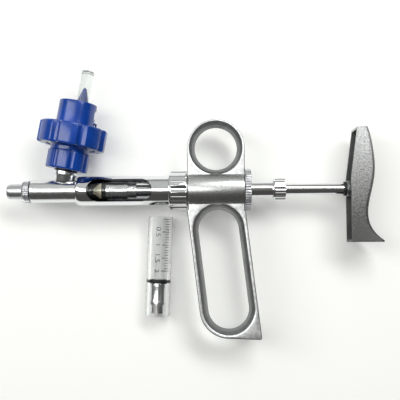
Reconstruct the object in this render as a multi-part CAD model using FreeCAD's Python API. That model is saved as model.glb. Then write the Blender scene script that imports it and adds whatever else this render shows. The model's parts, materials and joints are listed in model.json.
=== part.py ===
import FreeCAD, Part
import math
import os

V = FreeCAD.Vector

# Self-refilling syringe with a bottle adapter, lying flat as it does on a bench, with its spare
# glass beside it. X runs along the barrel from the nozzle to the palm rest, Y points from the
# finger loop to the finger ring and Z is up. The origin is the centre of the nozzle's front
# face. All sizes are in millimetres. Each run of pieces is stacked from one driving size to the
# next, so a piece takes its place from the one it seats on.

# Room between pieces
seat_gap = 0.05
running_gap = 0.15
end_gap = 0.2

# Nozzle, which the needle's hub screws over
tip_diameter = 8.2
tip_length = 8.3
tip_edge = 0.3
knurl_diameter = 12.2
knurl_length = 3.9
knurl_chamfer = 1.3
nozzle_teeth = 36
nozzle_tooth_depth = 0.35
luer_recess_diameter = 6.6
luer_recess_depth = 7.3
luer_tip_diameter = 3.97
luer_taper = 0.06
luer_bore = 1.6
luer_set_back = 0.3
nozzle_thread_diameter = 8.8
nozzle_thread_length = 4.2
nozzle_gasket_diameter = 10.9
nozzle_gasket_thickness = 0.6

# Valve body, with the outlet valve in front and the inlet stub on its side
body_diameter = 12.2
body_length = 26.2
passage_diameter = 3.0
outlet_chamber_diameter = 8.0
outlet_chamber_length = 9.6
poppet_thickness = 1.2
poppet_stem_diameter = 1.6
poppet_room = 0.6
valve_wire = 0.4
valve_coils = 4
coil_steps = 12
wire_sides = 6
recess_depth = 4.2

# Inlet stub, which leans towards the palm rest
stub_set_back = 16.5
stub_lean = 10.5
stub_diameter = 10.5
stub_foot = 5.2
stub_plug_diameter = 7.0
stub_plug_depth = 2.2
stub_flange_diameter = 12.8
stub_flange_start = 8.8
stub_flange_thickness = 2.0
stub_thread_diameter = 8.0
stub_thread_length = 7.0
inlet_chamber_diameter = 5.0
inlet_chamber_length = 5.6
inlet_seat_bore = 2.4

# Bottle adapter of moulded plastic, stacked along the stub
adapter_gasket_diameter = 12.0
adapter_gasket_thickness = 0.8
grip_diameter = 22.5
grip_length = 10.0
grip_lobes = 8
grip_phase = 20.0
neck_diameter = 21.0
neck_length = 2.7
boss_diameter = 26.0
boss_length = 5.6
collar_diameter = 36.5
collar_length = 11.7
collar_lobes = 8
collar_phase = 27.0
collar_groove = 2.1
cup_diameter = 20.4
cup_wall = 1.5
cup_stand = 12.8
cup_floor = 1.6
cup_flange_thickness = 2.6
seal_thickness = 0.8
notch_width = 9.0
notch_length = 4.8
notch_set_back = 2.8
notch_turn = 18.0
catch_width = 5.0
catch_length = 3.2
catch_height = 1.3
spike_offset = 2.0
spike_diameter = 4.9
spike_length = 27.6
spike_point_length = 13.0
spike_base_diameter = 13.0
spike_base_thickness = 1.2
spike_bore = 1.5
sleeve_diameter = 6.8
sleeve_wall = 0.5
sleeve_length = 34.4

# Glass barrel and its casing
glass_bore = 9.5
glass_wall = 2.0
glass_length = 54.1
glass_room = 0.3
front_gasket_thickness = 0.7
rear_gasket_thickness = 0.5
casing_wall = 0.9
casing_cone_length = 3.5
casing_front_wall = 1.5
casing_flange_diameter = 17.3
casing_flange_thickness = 1.8
window_set_back = 3.8
window_rear_margin = 15.5
window_chord = 12.1

# Piston and its rod, drawn at the dose that the photograph shows
piston_set_back = 7.0
tip_cone_length = 4.5
tip_nose_diameter = 2.6
tip_base_diameter = 8.2
ring_width = 2.3
ring_squeeze = 0.1
piston_body_length = 11.6
piston_body_diameter = 9.1
piston_neck_length = 4.6
piston_neck_diameter = 7.8
rod_diameter = 6.3
rod_stud_diameter = 4.0
rod_stud_length = 5.0
rod_collar_diameter = 8.4
rod_collar_thickness = 1.6
stop_washer_thickness = 1.0

# Spring cup that guides the rod, and the return spring
cup_reach = 7.3
guide_diameter = 9.3
guide_wall = 0.3
guide_floor = 0.6
guide_flange_diameter = 13.4
guide_flange_thickness = 1.0
spring_diameter = 8.2
spring_wire = 0.75
spring_coils = 6

# Coupling nut
nut_diameter = 20.9
nut_length = 9.4
nut_shoulder = 1.2
nut_flutes = 12
nut_flute_depth = 0.55
nut_front_wall = 2.4

# Handle casting
sleeve_gap = 0.8
sleeve_run = 30.0
sleeve_outer = 20.4
spigot_diameter = 17.5
spigot_overlap = 2.9
handle_bore = 10.5
plate_thickness = 13.0
plate_edge = 0.8
ring_offset = 0.1
ring_stand = 22.1
ring_hole = 14.2
loop_top_offset = 1.0
loop_top_stand = 20.3
loop_bottom_offset = 6.0
loop_bottom_stand = 63.1
loop_hole = 13.65
hole_draft = 3.0
ring_rim = 1.05
loop_rim = 1.75
corner_radius = 1.2

# Dose adjuster behind the handle
bush_diameter = 12.4
bush_length = 8.0
lock_diameter = 22.6
lock_thickness = 3.3
lock_teeth = 48
lock_tooth_depth = 0.7
dose_diameter = 8.7
dose_reach = 20.9
grip_nut_diameter = 11.7
grip_nut_length = 6.7
grip_nut_grip = 5.7
grip_nut_shoulder = 1.1
grip_nut_flutes = 12
grip_nut_flute_depth = 0.45

# Palm rest
rod_show = 32.2
buffer_thickness = 1.4
buffer_diameter = 7.5
boss_proud = 1.3
palm_thickness = 16.2
palm_wall = 1.3
palm_low = -28.5
palm_bend = 5.0
palm_high = 32.5
palm_lean = 3.8
palm_back = [(9.6, 32.5), (12.4, 20.0), (12.8, 9.0), (11.0, -2.0), (8.9, -11.5), (10.0, -19.0),
             (13.4, -24.6), (17.3, -27.6)]
palm_boss_diameter = 8.6
palm_stud_diameter = 5.0
palm_stud_length = 7.0

# Spare glass with its own piston, which lies on the bench beside the syringe
spare_clear = 15.6
spare_stand = 13.9
spare_lean = 2.4
spare_ring_start = 34.2

# Places along the barrel, worked out from the sizes above
knurl_x = tip_length
nozzle_gasket_x = knurl_x + knurl_length
body_x = nozzle_gasket_x + nozzle_gasket_thickness
body_end = body_x + body_length
stub_x = body_x + stub_set_back
casing_x = body_end - casing_front_wall
front_gasket_x = body_end
glass_x = front_gasket_x + front_gasket_thickness
glass_end = glass_x + glass_length
window_start = glass_x + window_set_back
window_end = glass_end - window_rear_margin
glass_outer = glass_bore + 2 * glass_wall
rear_gasket_x = glass_end
guide_flange_x = rear_gasket_x + rear_gasket_thickness
guide_seat_x = guide_flange_x + guide_flange_thickness
guide_floor_x = guide_flange_x - cup_reach
casing_bore = glass_outer + 2 * glass_room
casing_outer = casing_bore + 2 * casing_wall
spigot_x = guide_seat_x - spigot_overlap - guide_flange_thickness
casing_end = spigot_x
nut_x = casing_end - casing_flange_thickness - nut_front_wall
piston_tip_start = glass_x + piston_set_back
ring_x = piston_tip_start + tip_cone_length
piston_body_x = ring_x + ring_width
piston_neck_x = piston_body_x + piston_body_length
piston_end = piston_neck_x + piston_neck_length
press_travel = ring_x - glass_x
spring_start = guide_floor_x + guide_floor
rod_collar_x = spring_start + spring_coils * spring_wire + press_travel + end_gap
stop_washer_x = rod_collar_x + rod_collar_thickness
dose_x = stop_washer_x + stop_washer_thickness
sleeve_start = nut_x + nut_length + sleeve_gap
sleeve_end = sleeve_start + sleeve_run
sleeve_middle = (sleeve_start + sleeve_end) / 2
ring_centre = V(sleeve_middle - ring_offset, ring_stand, 0)
loop_top = V(sleeve_middle + loop_top_offset, -loop_top_stand, 0)
loop_bottom = V(sleeve_middle + loop_bottom_offset, -loop_bottom_stand, 0)
bush_x = sleeve_end - bush_length
lock_x = sleeve_end + end_gap
dose_end = sleeve_end + dose_reach
grip_nut_start = dose_end - grip_nut_grip
buffer_start = dose_end + rod_show
boss_x = buffer_start + buffer_thickness
palm_rim_x = boss_x + boss_proud
bench_z = -collar_diameter / 2
spare_top = V(sleeve_start - spare_clear, -spare_stand, 0)
spare_foot_x = spare_top.x - spare_lean

# Places along the stub, measured from the barrel's axis
stub_flange_end = stub_flange_start + stub_flange_thickness
adapter_start = stub_flange_end + adapter_gasket_thickness
neck_start = adapter_start + grip_length
boss_start = neck_start + neck_length
boss_end = boss_start + boss_length
cup_start = boss_end + seal_thickness
cup_shoulder = cup_start + cup_flange_thickness
collar_end = boss_start + collar_length
cup_inside = cup_start + cup_floor
cup_end = collar_end + cup_stand
spike_end = boss_end + spike_length


def turned(profile):
    """Solid of revolution about the X axis, from its outline given as (x, radius) corners."""
    corners = [V(x, radius, 0) for x, radius in profile]
    outline = Part.makePolygon(corners + corners[:1])
    return Part.Face(outline).revolve(V(0, 0, 0), V(1, 0, 0), 360)


def bar(start, end, diameter):
    """Plain round bar along X between two stations."""
    return Part.makeCylinder(diameter / 2, end - start, V(start, 0, 0), V(1, 0, 0))


def tube(start, end, outer, inner):
    """Plain tube along X between two stations, from its two diameters."""
    return bar(start, end, outer).cut(bar(start, end, inner))


def around(shape, count):
    """Copies of a shape, evenly spaced round the X axis."""
    copies = []
    for number in range(count):
        turned_copy = shape.copy()
        turned_copy.rotate(V(0, 0, 0), V(1, 0, 0), 360.0 * number / count)
        copies.append(turned_copy)
    return Part.makeCompound(copies)


def fluted(solid, start, end, diameter, count, depth, radius):
    """Cuts round flutes of one radius and depth into a turned solid, along X."""
    centre = V(start, diameter / 2 + radius - depth, 0)
    flute = Part.makeCylinder(radius, end - start, centre, V(1, 0, 0))
    return solid.cut(around(flute, count))


def toothed(start, end, diameter, count, depth):
    """Disc with straight knurling: each tooth has a flat crest and a flat root."""
    corners = []
    for number in range(4 * count):
        radius = diameter / 2 - (depth if number % 4 > 1 else 0)
        angle = 2 * math.pi * (number + 0.25) / (4 * count)
        corners.append(V(start, radius * math.cos(angle), radius * math.sin(angle)))
    face = Part.Face(Part.makePolygon(corners + corners[:1]))
    return face.extrude(V(end - start, 0, 0))


def coil(start, end, diameter, wire, turns):
    """Coil spring along X: flat-sided sections of its wire, set round a helix and joined."""
    rise = end - start - wire
    radius = (diameter - wire) / 2
    steps = turns * coil_steps
    sections = []
    for step in range(steps + 1):
        angle = 2 * math.pi * step / coil_steps
        outward = V(0, math.cos(angle), math.sin(angle))
        centre = V(start + wire / 2 + rise * step / steps, 0, 0) + outward * radius
        corners = []
        for side in range(wire_sides):
            turn = 2 * math.pi * (side + 0.5) / wire_sides
            corners.append(centre + V(math.cos(turn), 0, 0) * (wire / 2)
                           + outward * (math.sin(turn) * wire / 2))
        sections.append(Part.makePolygon(corners + corners[:1]))
    return Part.makeLoft(sections, True, True)


def on_stub(shape):
    """Turns a shape made along X so that it stands along the inlet stub."""
    placed = shape.copy()
    placed.rotate(V(0, 0, 0), V(0, 0, 1), 90 - stub_lean)
    placed.translate(V(stub_x, 0, 0))
    return placed


def needle_nozzle():
    """Nozzle cap with the Luer cone inside its tip and a straight-knurled ring behind."""
    tip_wall = turned([(0, 0), (0, tip_diameter / 2 - tip_edge), (tip_edge, tip_diameter / 2),
                       (knurl_x + 1, tip_diameter / 2), (knurl_x + 1, 0)])
    knurl = toothed(knurl_x, nozzle_gasket_x, knurl_diameter, nozzle_teeth, nozzle_tooth_depth)
    shaper = turned([(knurl_x, 0), (knurl_x, knurl_diameter / 2 - knurl_chamfer / 2),
                     (knurl_x + knurl_chamfer, knurl_diameter / 2), (nozzle_gasket_x, knurl_diameter / 2),
                     (nozzle_gasket_x, 0)])
    thread = bar(nozzle_gasket_x - 1, body_x + nozzle_thread_length, nozzle_thread_diameter)
    shape = tip_wall.fuse([knurl.common(shaper), thread])
    shape = shape.cut(bar(-1, luer_recess_depth, luer_recess_diameter))
    base_radius = (luer_tip_diameter + luer_taper * (luer_recess_depth - luer_set_back)) / 2
    cone = turned([(luer_set_back, 0), (luer_set_back, luer_tip_diameter / 2),
                   (luer_recess_depth + 1, base_radius), (luer_recess_depth + 1, 0)])
    shape = shape.fuse(cone).cut(bar(-1, body_x + nozzle_thread_length + 1, luer_bore))
    return shape.removeSplitter()


def nozzle_gasket():
    return tube(nozzle_gasket_x, body_x, nozzle_gasket_diameter, nozzle_thread_diameter + 2 * seat_gap)


def valve_body():
    """Body of the valves: thread for the nozzle, outlet chamber, passage and rear recess."""
    thread_bore = nozzle_thread_diameter + 2 * seat_gap
    chamber_start = body_x + nozzle_thread_length + end_gap
    chamber_end = chamber_start + outlet_chamber_length
    recess_start = body_end - recess_depth
    shape = bar(body_x, body_end, body_diameter)
    shape = shape.cut([bar(body_x - 1, chamber_start, thread_bore),
                       bar(chamber_start - 1, chamber_end, outlet_chamber_diameter),
                       bar(chamber_end - 1, body_end + 1, passage_diameter)])
    recess = turned([(recess_start, 0), (recess_start, tip_nose_diameter / 2 + 2 * running_gap),
                     (body_end, tip_base_diameter / 2 + 2 * running_gap), (body_end + 1, tip_base_diameter / 2),
                     (body_end + 1, 0)])
    plug_hole = on_stub(bar(0, body_diameter, stub_plug_diameter + 2 * seat_gap))
    socket_floor = on_stub(bar(0, stub_foot - stub_plug_depth, body_diameter))
    port = on_stub(bar(0, body_diameter, inlet_seat_bore))
    return shape.cut([recess, plug_hole.cut(socket_floor), port])


def outlet_valve():
    """Poppet that lifts towards the nozzle when the piston drives the dose out."""
    seat = body_x + nozzle_thread_length + end_gap + outlet_chamber_length
    front = seat - poppet_thickness
    radius = outlet_chamber_diameter / 2 - poppet_room
    stem_start = front - outlet_chamber_length / 3
    nose_radius = passage_diameter / 2 - running_gap
    return turned([(stem_start, 0), (stem_start, poppet_stem_diameter / 2), (front, poppet_stem_diameter / 2),
                   (front, radius), (seat - seat_gap, radius), (seat - seat_gap, nose_radius),
                   (seat + poppet_thickness / 2, 0)])


def outlet_valve_spring():
    front = body_x + nozzle_thread_length + end_gap / 2
    seat = body_x + nozzle_thread_length + end_gap + outlet_chamber_length
    outer = 2 * (outlet_chamber_diameter / 2 - poppet_room) - valve_wire
    return coil(front, seat - poppet_thickness - seat_gap, outer, valve_wire, valve_coils)


def inlet_stub():
    """Stub that stands on the valve body: plug, saddle foot, cone, flange and threaded spigot."""
    foot = stub_foot - stub_plug_depth
    spigot_end = stub_flange_end + stub_thread_length
    shape = turned([(foot, 0), (foot, stub_plug_diameter / 2), (stub_foot - 1, stub_plug_diameter / 2),
                    (stub_foot - 1, stub_diameter / 2), (stub_flange_start, stub_flange_diameter / 2),
                    (stub_flange_end, stub_flange_diameter / 2), (stub_flange_end, stub_thread_diameter / 2),
                    (spigot_end, stub_thread_diameter / 2), (spigot_end, 0)])
    saddle = bar(stub_x - body_diameter, stub_x + body_diameter, body_diameter + 2 * seat_gap)
    plug = bar(foot, stub_foot + 2, stub_plug_diameter)
    chamber_start = foot + 1
    hollow = [bar(foot - 1, spigot_end + 1, inlet_seat_bore),
              bar(chamber_start, chamber_start + inlet_chamber_length, inlet_chamber_diameter)]
    placed = on_stub(shape).cut(saddle).fuse(on_stub(plug)).cut([on_stub(tool) for tool in hollow])
    return placed.removeSplitter()


def inlet_valve():
    """Poppet that lets liquid in from the bottle and closes when the piston moves forward."""
    seat = stub_foot - stub_plug_depth + 1 + inlet_chamber_length
    radius = inlet_chamber_diameter / 2 - poppet_room / 2
    stem_end = seat - poppet_thickness - inlet_chamber_length / 3
    nose_radius = inlet_seat_bore / 2 - running_gap
    shape = turned([(seat + poppet_thickness / 3, 0), (seat - seat_gap, nose_radius), (seat - seat_gap, radius),
                    (seat - poppet_thickness, radius), (seat - poppet_thickness, poppet_stem_diameter / 3),
                    (stem_end, poppet_stem_diameter / 3), (stem_end, 0)])
    return on_stub(shape)


def inlet_valve_spring():
    start = stub_foot - stub_plug_depth + 1 + seat_gap
    seat = start + inlet_chamber_length
    outer = inlet_chamber_diameter - 2 * poppet_room
    return on_stub(coil(start, seat - poppet_thickness - 2 * seat_gap, outer, valve_wire, valve_coils))


def inlet_gasket():
    bore = stub_thread_diameter + 2 * seat_gap
    return on_stub(tube(stub_flange_end, adapter_start, adapter_gasket_diameter, bore))


def lobed(start, end, diameter, count, groove, phase):
    """Moulded grip: broad lobes kept apart by narrow round-bottomed grooves, the first at phase."""
    blank = bar(start, end, diameter)
    blank = blank.makeChamfer(groove / 3, [edge for edge in blank.Edges if edge.Closed])
    cutter = Part.makeCylinder(groove, end - start + 2, V(start - 1, diameter / 2 + groove / 3, 0), V(1, 0, 0))
    cutter.rotate(V(0, 0, 0), V(1, 0, 0), phase)
    return blank.cut(around(cutter, count))


def adapter_base():
    """Lower part of the adapter: lobed grip, smooth neck and the threaded boss in the collar."""
    grip = lobed(adapter_start, neck_start, grip_diameter, grip_lobes, collar_groove * 0.7, grip_phase)
    shape = grip.fuse([bar(neck_start - 1, boss_start, neck_diameter),
                       bar(boss_start - neck_length / 3, boss_end, boss_diameter - 2 * end_gap)])
    thread = bar(adapter_start - 1, stub_flange_end + stub_thread_length + end_gap,
                 stub_thread_diameter + 2 * seat_gap)
    channel = bar(adapter_start, boss_end + 1, inlet_seat_bore)
    pocket = bar(boss_end - spike_base_thickness - seat_gap, boss_end + 1, spike_base_diameter + 2 * seat_gap)
    pocket.translate(V(0, -spike_offset, 0))
    return on_stub(shape.cut([thread, channel, pocket]).removeSplitter())


def adapter_collar():
    """Big lobed collar that clamps the cup down on the base."""
    shape = lobed(boss_start, collar_end, collar_diameter, collar_lobes, collar_groove, collar_phase)
    cavity = bar(boss_start - 1, cup_shoulder + end_gap, boss_diameter + 2 * running_gap)
    mouth = bar(boss_start, collar_end + 1, cup_diameter + 2 * running_gap)
    return on_stub(shape.cut([cavity, mouth]))


def adapter_seal():
    shape = tube(boss_end, cup_start, boss_diameter - 2, spike_diameter + 1)
    hole = bar(boss_end - 1, cup_start + 1, spike_diameter + 1)
    hole.translate(V(0, -spike_offset, 0))
    return on_stub(shape.cut(hole))


def adapter_cup():
    """Cup that takes the neck of a bottle, with a side notch and a small catch."""
    flange = bar(cup_start, cup_shoulder, boss_diameter - 2 * end_gap)
    shape = flange.fuse(bar(cup_start, cup_end, cup_diameter))
    rim = [edge for edge in shape.Edges if edge.Closed and edge.BoundBox.XMin > cup_end - end_gap]
    shape = shape.makeChamfer(cup_wall / 4, rim)
    catch = Part.makeBox(catch_length, catch_height + cup_wall, catch_width,
                         V(collar_end + end_gap, -cup_diameter / 2 - catch_height, -catch_width / 2))
    catch.rotate(V(0, 0, 0), V(1, 0, 0), notch_turn)
    shape = shape.fuse(catch).cut(bar(cup_inside, cup_end + 1, cup_diameter - 2 * cup_wall))
    notch = Part.makeBox(notch_length, cup_diameter, notch_width,
                         V(cup_end - notch_set_back - notch_length, -cup_diameter - cup_wall, -notch_width / 2))
    notch.rotate(V(0, 0, 0), V(1, 0, 0), notch_turn)
    hole = bar(cup_start - 1, cup_inside + 1, spike_diameter + 2 * seat_gap)
    hole.translate(V(0, -spike_offset, 0))
    return on_stub(shape.cut([notch, hole]))


def adapter_spike():
    """Hollow spike with a sharp point and a side port, standing off centre in the cup."""
    base = boss_end - spike_base_thickness
    shape = turned([(base, 0), (base, spike_base_diameter / 2), (boss_end, spike_base_diameter / 2),
                    (boss_end, spike_diameter / 2), (spike_end - spike_point_length, spike_diameter / 2),
                    (spike_end, spike_bore / 6), (spike_end, 0)])
    channel_end = spike_end - spike_point_length * 0.8
    side_port = Part.makeCylinder(spike_bore / 2, spike_diameter, V(channel_end - spike_bore, 0, 0), V(0, 0, 1))
    shape = shape.cut([bar(base - 1, channel_end, spike_bore), side_port])
    shape.translate(V(0, -spike_offset, 0))
    return on_stub(shape)


def spike_sleeve():
    """Clear cap with a domed end that covers the spike."""
    start = cup_inside + end_gap
    end = start + sleeve_length
    outer = bar(start, end, sleeve_diameter)
    outer = outer.makeChamfer(sleeve_diameter / 6, [edge for edge in outer.Edges
                                                    if edge.Closed and edge.BoundBox.XMin > end - end_gap])
    shape = outer.cut(bar(start - 1, end - 2 * sleeve_wall, sleeve_diameter - 2 * sleeve_wall))
    shape.translate(V(0, -spike_offset, 0))
    return on_stub(shape)


def obround(start, end, width, height):
    """Prism with round ends, lying along X and centred on the barrel's axis."""
    radius = width / 2
    middle = Part.makeBox(end - start - width, width, height, V(start + radius, -radius, 0))
    caps = [Part.makeCylinder(radius, height, V(x, 0, 0)) for x in (start + radius, end - radius)]
    return middle.fuse(caps)


def barrel_casing():
    """Chromed casing: cone in front, two long windows and a flange that the coupling nut pulls on."""
    neck_radius = body_diameter / 2 + casing_wall / 3
    shoulder_radius = (casing_bore + casing_wall) / 2
    shape = turned([(casing_x, 0), (casing_x, neck_radius), (front_gasket_x, shoulder_radius),
                    (casing_x + casing_cone_length, casing_outer / 2),
                    (casing_end - casing_flange_thickness, casing_outer / 2),
                    (casing_end - casing_flange_thickness, casing_flange_diameter / 2),
                    (casing_end, casing_flange_diameter / 2), (casing_end, 0)])
    shape = shape.cut([bar(casing_x - 1, casing_end, body_diameter + 2 * seat_gap),
                       bar(front_gasket_x, casing_end + 1, casing_bore)])
    window = obround(window_start, window_end, window_chord, 4 * casing_outer)
    window.translate(V(0, 0, -2 * casing_outer))
    return shape.cut(window)


def front_gasket():
    return tube(front_gasket_x, glass_x, glass_outer, glass_bore + 2 * running_gap)


def glass_barrel():
    return tube(glass_x, glass_end, glass_outer, glass_bore)


def rear_gasket():
    return tube(rear_gasket_x, guide_flange_x, glass_outer, glass_bore + 2 * running_gap)


def rod_guide():
    """Thin spring cup: it hangs in the back of the glass, guides the rod and holds the spring."""
    wall_bore = guide_diameter - 2 * guide_wall
    return turned([(guide_floor_x, rod_diameter / 2 + running_gap), (guide_floor_x, guide_diameter / 2),
                   (guide_flange_x, guide_diameter / 2), (guide_flange_x, guide_flange_diameter / 2),
                   (guide_seat_x, guide_flange_diameter / 2), (guide_seat_x, wall_bore / 2),
                   (spring_start, wall_bore / 2), (spring_start, rod_diameter / 2 + running_gap)])


def return_spring():
    return coil(spring_start, rod_collar_x, spring_diameter, spring_wire, spring_coils)


def piston_tip():
    """Soft cone that fills the recess of the valve body at the end of the stroke."""
    return turned([(piston_tip_start, 0), (piston_tip_start, tip_nose_diameter / 2),
                   (ring_x - tip_cone_length / 4, tip_base_diameter / 2), (ring_x, tip_base_diameter / 2),
                   (ring_x, 0)])


def piston_o_ring():
    outer = glass_bore - 2 * ring_squeeze
    ring = tube(ring_x + seat_gap, piston_body_x - seat_gap, outer, rod_diameter + 2 * seat_gap)
    rims = [edge for edge in ring.Edges if edge.Closed and edge.BoundBox.YLength > outer - end_gap]
    return ring.makeChamfer(ring_width / 4, rims)


def piston_body():
    """Piston with the groove stem for the ring, two fine lands and a narrower neck."""
    land = piston_body_length / 5
    groove = piston_body_diameter - 4 * seat_gap
    return turned([(ring_x, 0), (ring_x, rod_diameter / 2), (piston_body_x, rod_diameter / 2),
                   (piston_body_x, piston_body_diameter / 2), (piston_body_x + land, piston_body_diameter / 2),
                   (piston_body_x + land, groove / 2), (piston_neck_x - land, groove / 2),
                   (piston_neck_x - land, piston_body_diameter / 2), (piston_neck_x, piston_body_diameter / 2),
                   (piston_neck_x, piston_neck_diameter / 2), (piston_end, piston_neck_diameter / 2),
                   (piston_end, rod_stud_diameter / 2 + seat_gap),
                   (piston_end - rod_stud_length - end_gap, rod_stud_diameter / 2 + seat_gap),
                   (piston_end - rod_stud_length - end_gap, 0)])


def piston_rod():
    """Rod with a stud into the piston at one end and into the palm rest at the other."""
    stud_end = boss_x + palm_stud_length
    return turned([(piston_end - rod_stud_length, 0), (piston_end - rod_stud_length, rod_stud_diameter / 2),
                   (piston_end, rod_stud_diameter / 2), (piston_end, rod_diameter / 2),
                   (boss_x, rod_diameter / 2), (boss_x, palm_stud_diameter / 2),
                   (stud_end, palm_stud_diameter / 2), (stud_end, 0)])


def rod_collar():
    return tube(rod_collar_x, stop_washer_x, rod_collar_diameter, rod_diameter + 2 * seat_gap)


def stop_washer():
    """Nylon washer between the rod's collar and the dose sleeve."""
    return tube(stop_washer_x, dose_x, rod_collar_diameter, rod_diameter + 4 * running_gap)


def coupling_nut():
    """Fluted nut that pulls the casing's flange against the handle's threaded spigot."""
    end = nut_x + nut_length
    blank = bar(nut_x, end, nut_diameter)
    blank = blank.makeChamfer(nut_shoulder / 2, [edge for edge in blank.Edges if edge.Closed])
    shape = fluted(blank, nut_x + nut_shoulder, end + 1, nut_diameter, nut_flutes, nut_flute_depth,
                   nut_diameter / 6)
    front_hole = bar(nut_x - 1, end, casing_outer + 2 * running_gap)
    thread = bar(nut_x + nut_front_wall, end + 1, spigot_diameter + 2 * running_gap)
    return shape.cut([front_hole, thread])


def tapered_hole(lower, upper, hole):
    """Finger hole between two centres: widest at both faces, narrowest on the middle plane."""
    tools = []
    for side in (1, -1):
        wires = []
        for height, radius in ((0, hole - hole_draft), (plate_thickness / 2, hole),
                               (plate_thickness, hole + hole_draft)):
            wires.append(long_loop(lower, upper, radius, side * height))
        tools.append(Part.makeLoft(wires, True, True))
    return tools


def long_loop(lower, upper, radius, height):
    """Outline of round ends about two centres joined by straight sides, at one height."""
    along = (upper - lower).normalize() if upper != lower else V(0, 1, 0)
    side = V(along.y, -along.x, 0) * radius
    lift = V(0, 0, height)
    right_low, right_high = lower + side + lift, upper + side + lift
    left_high, left_low = upper - side + lift, lower - side + lift
    top = Part.Arc(right_high, upper + along * radius + lift, left_high).toShape()
    foot = Part.Arc(left_low, lower - along * radius + lift, right_low).toShape()
    edges = [top, foot]
    if upper != lower:
        edges = [Part.makeLine(right_low, right_high), top, Part.makeLine(left_high, left_low), foot]
    return Part.Wire(edges)


def crossing(point_a, along_a, point_b, along_b):
    """Point where two lines in the plane of the handle meet."""
    across = along_a.x * along_b.y - along_a.y * along_b.x
    between = point_b - point_a
    step = (between.x * along_b.y - between.y * along_b.x) / across
    return point_a + along_a * step


def loop_plate():
    """Flat outline of the long finger loop, with its pointed corner at the back."""
    rim = loop_hole + loop_rim
    down = (loop_bottom - loop_top).normalize()
    left = V(down.y, -down.x, 0) * rim
    inner_radius = sleeve_outer / 4
    start_left = crossing(loop_bottom + left, down, V(0, -inner_radius, 0), V(1, 0, 0))
    start_right = crossing(loop_bottom - left, down, V(0, -inner_radius, 0), V(1, 0, 0))
    base = V(1, -loop_rim / loop_hole / 3, 0).normalize()
    base_touch = loop_bottom + V(base.y, -base.x, 0) * rim
    corner = crossing(loop_bottom - left, down, base_touch, base)
    halfway = (left + V(base.y, -base.x, 0) * rim).normalize() * rim
    half_angle = base.negative().getAngle(down.negative()) / 2
    run = corner_radius / math.tan(half_angle)
    base_end, side_start = corner - base * run, corner - down * run
    tip = corner - (base + down).normalize() * (corner_radius / math.sin(half_angle) - corner_radius)
    edges = [Part.makeLine(start_left, loop_bottom + left),
             Part.Arc(loop_bottom + left, loop_bottom + halfway, base_touch).toShape(),
             Part.makeLine(base_touch, base_end), Part.Arc(base_end, tip, side_start).toShape(),
             Part.makeLine(side_start, start_right), Part.makeLine(start_right, start_left)]
    return Part.Face(Part.Wire(edges))


def ring_plate():
    """Flat outline of the finger ring: round above, with straight sides down to the sleeve."""
    rim = ring_hole + ring_rim
    seat = V(ring_centre.x, sleeve_outer / 4, 0)
    return Part.Face(Part.Wire([
        Part.Arc(ring_centre + V(rim, 0, 0), ring_centre + V(0, rim, 0), ring_centre - V(rim, 0, 0)).toShape(),
        Part.makeLine(ring_centre - V(rim, 0, 0), seat - V(rim, 0, 0)),
        Part.makeLine(seat - V(rim, 0, 0), seat + V(rim, 0, 0)),
        Part.makeLine(seat + V(rim, 0, 0), ring_centre + V(rim, 0, 0))]))


def plate_solid(face):
    """Cast plate of the handle's thickness from a flat outline, with softened face edges."""
    blank = face.extrude(V(0, 0, plate_thickness))
    blank.translate(V(0, 0, -plate_thickness / 2))
    flat = [edge for edge in blank.Edges if edge.BoundBox.ZLength < seat_gap]
    return blank.makeChamfer(plate_edge, flat)


def handle():
    """Cast handle: finger ring, finger loop, the sleeve between them and the front spigot."""
    plates = plate_solid(loop_plate()).fuse(plate_solid(ring_plate()))
    facings = [bar(nut_x, sleeve_start, nut_diameter + 4 * running_gap),
               bar(sleeve_end, lock_x + lock_thickness + end_gap, lock_diameter + 4 * running_gap)]
    holes = tapered_hole(ring_centre, ring_centre, ring_hole) + tapered_hole(loop_bottom, loop_top, loop_hole)
    sleeve = bar(sleeve_start, sleeve_end, sleeve_outer)
    shape = plates.cut(holes + facings).fuse([sleeve, bar(spigot_x, sleeve_start + 1, spigot_diameter)])
    seat_bore = glass_outer + 2 * glass_room
    shape = shape.cut([bar(spigot_x - 1, guide_seat_x, seat_bore),
                       bar(guide_seat_x - 1, bush_x, handle_bore),
                       bar(bush_x, sleeve_end + 1, bush_diameter)])
    return shape.removeSplitter()


def rear_bush():
    """Threaded brass bush that the dose sleeve turns in."""
    return tube(bush_x, sleeve_end, bush_diameter, dose_diameter + 2 * running_gap)


def lock_ring():
    shape = toothed(lock_x, lock_x + lock_thickness, lock_diameter, lock_teeth, lock_tooth_depth)
    return shape.cut(bar(lock_x - 1, lock_x + lock_thickness + 1, dose_diameter + 2 * running_gap))


def dose_sleeve():
    """Threaded sleeve that sets how far back the rod can spring."""
    return tube(dose_x, dose_end, dose_diameter, rod_diameter + 4 * running_gap)


def dose_grip_nut():
    end = grip_nut_start + grip_nut_length
    blank = bar(grip_nut_start, end, grip_nut_diameter)
    blank = blank.makeChamfer(grip_nut_shoulder / 3, [edge for edge in blank.Edges if edge.Closed])
    shape = fluted(blank, grip_nut_start + grip_nut_shoulder, end + 1, grip_nut_diameter, grip_nut_flutes,
                   grip_nut_flute_depth, grip_nut_diameter / 7)
    return shape.cut([bar(grip_nut_start - 1, dose_end, dose_diameter + 2 * seat_gap),
                      bar(grip_nut_start, end + 1, rod_diameter + 4 * running_gap)])


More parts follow.
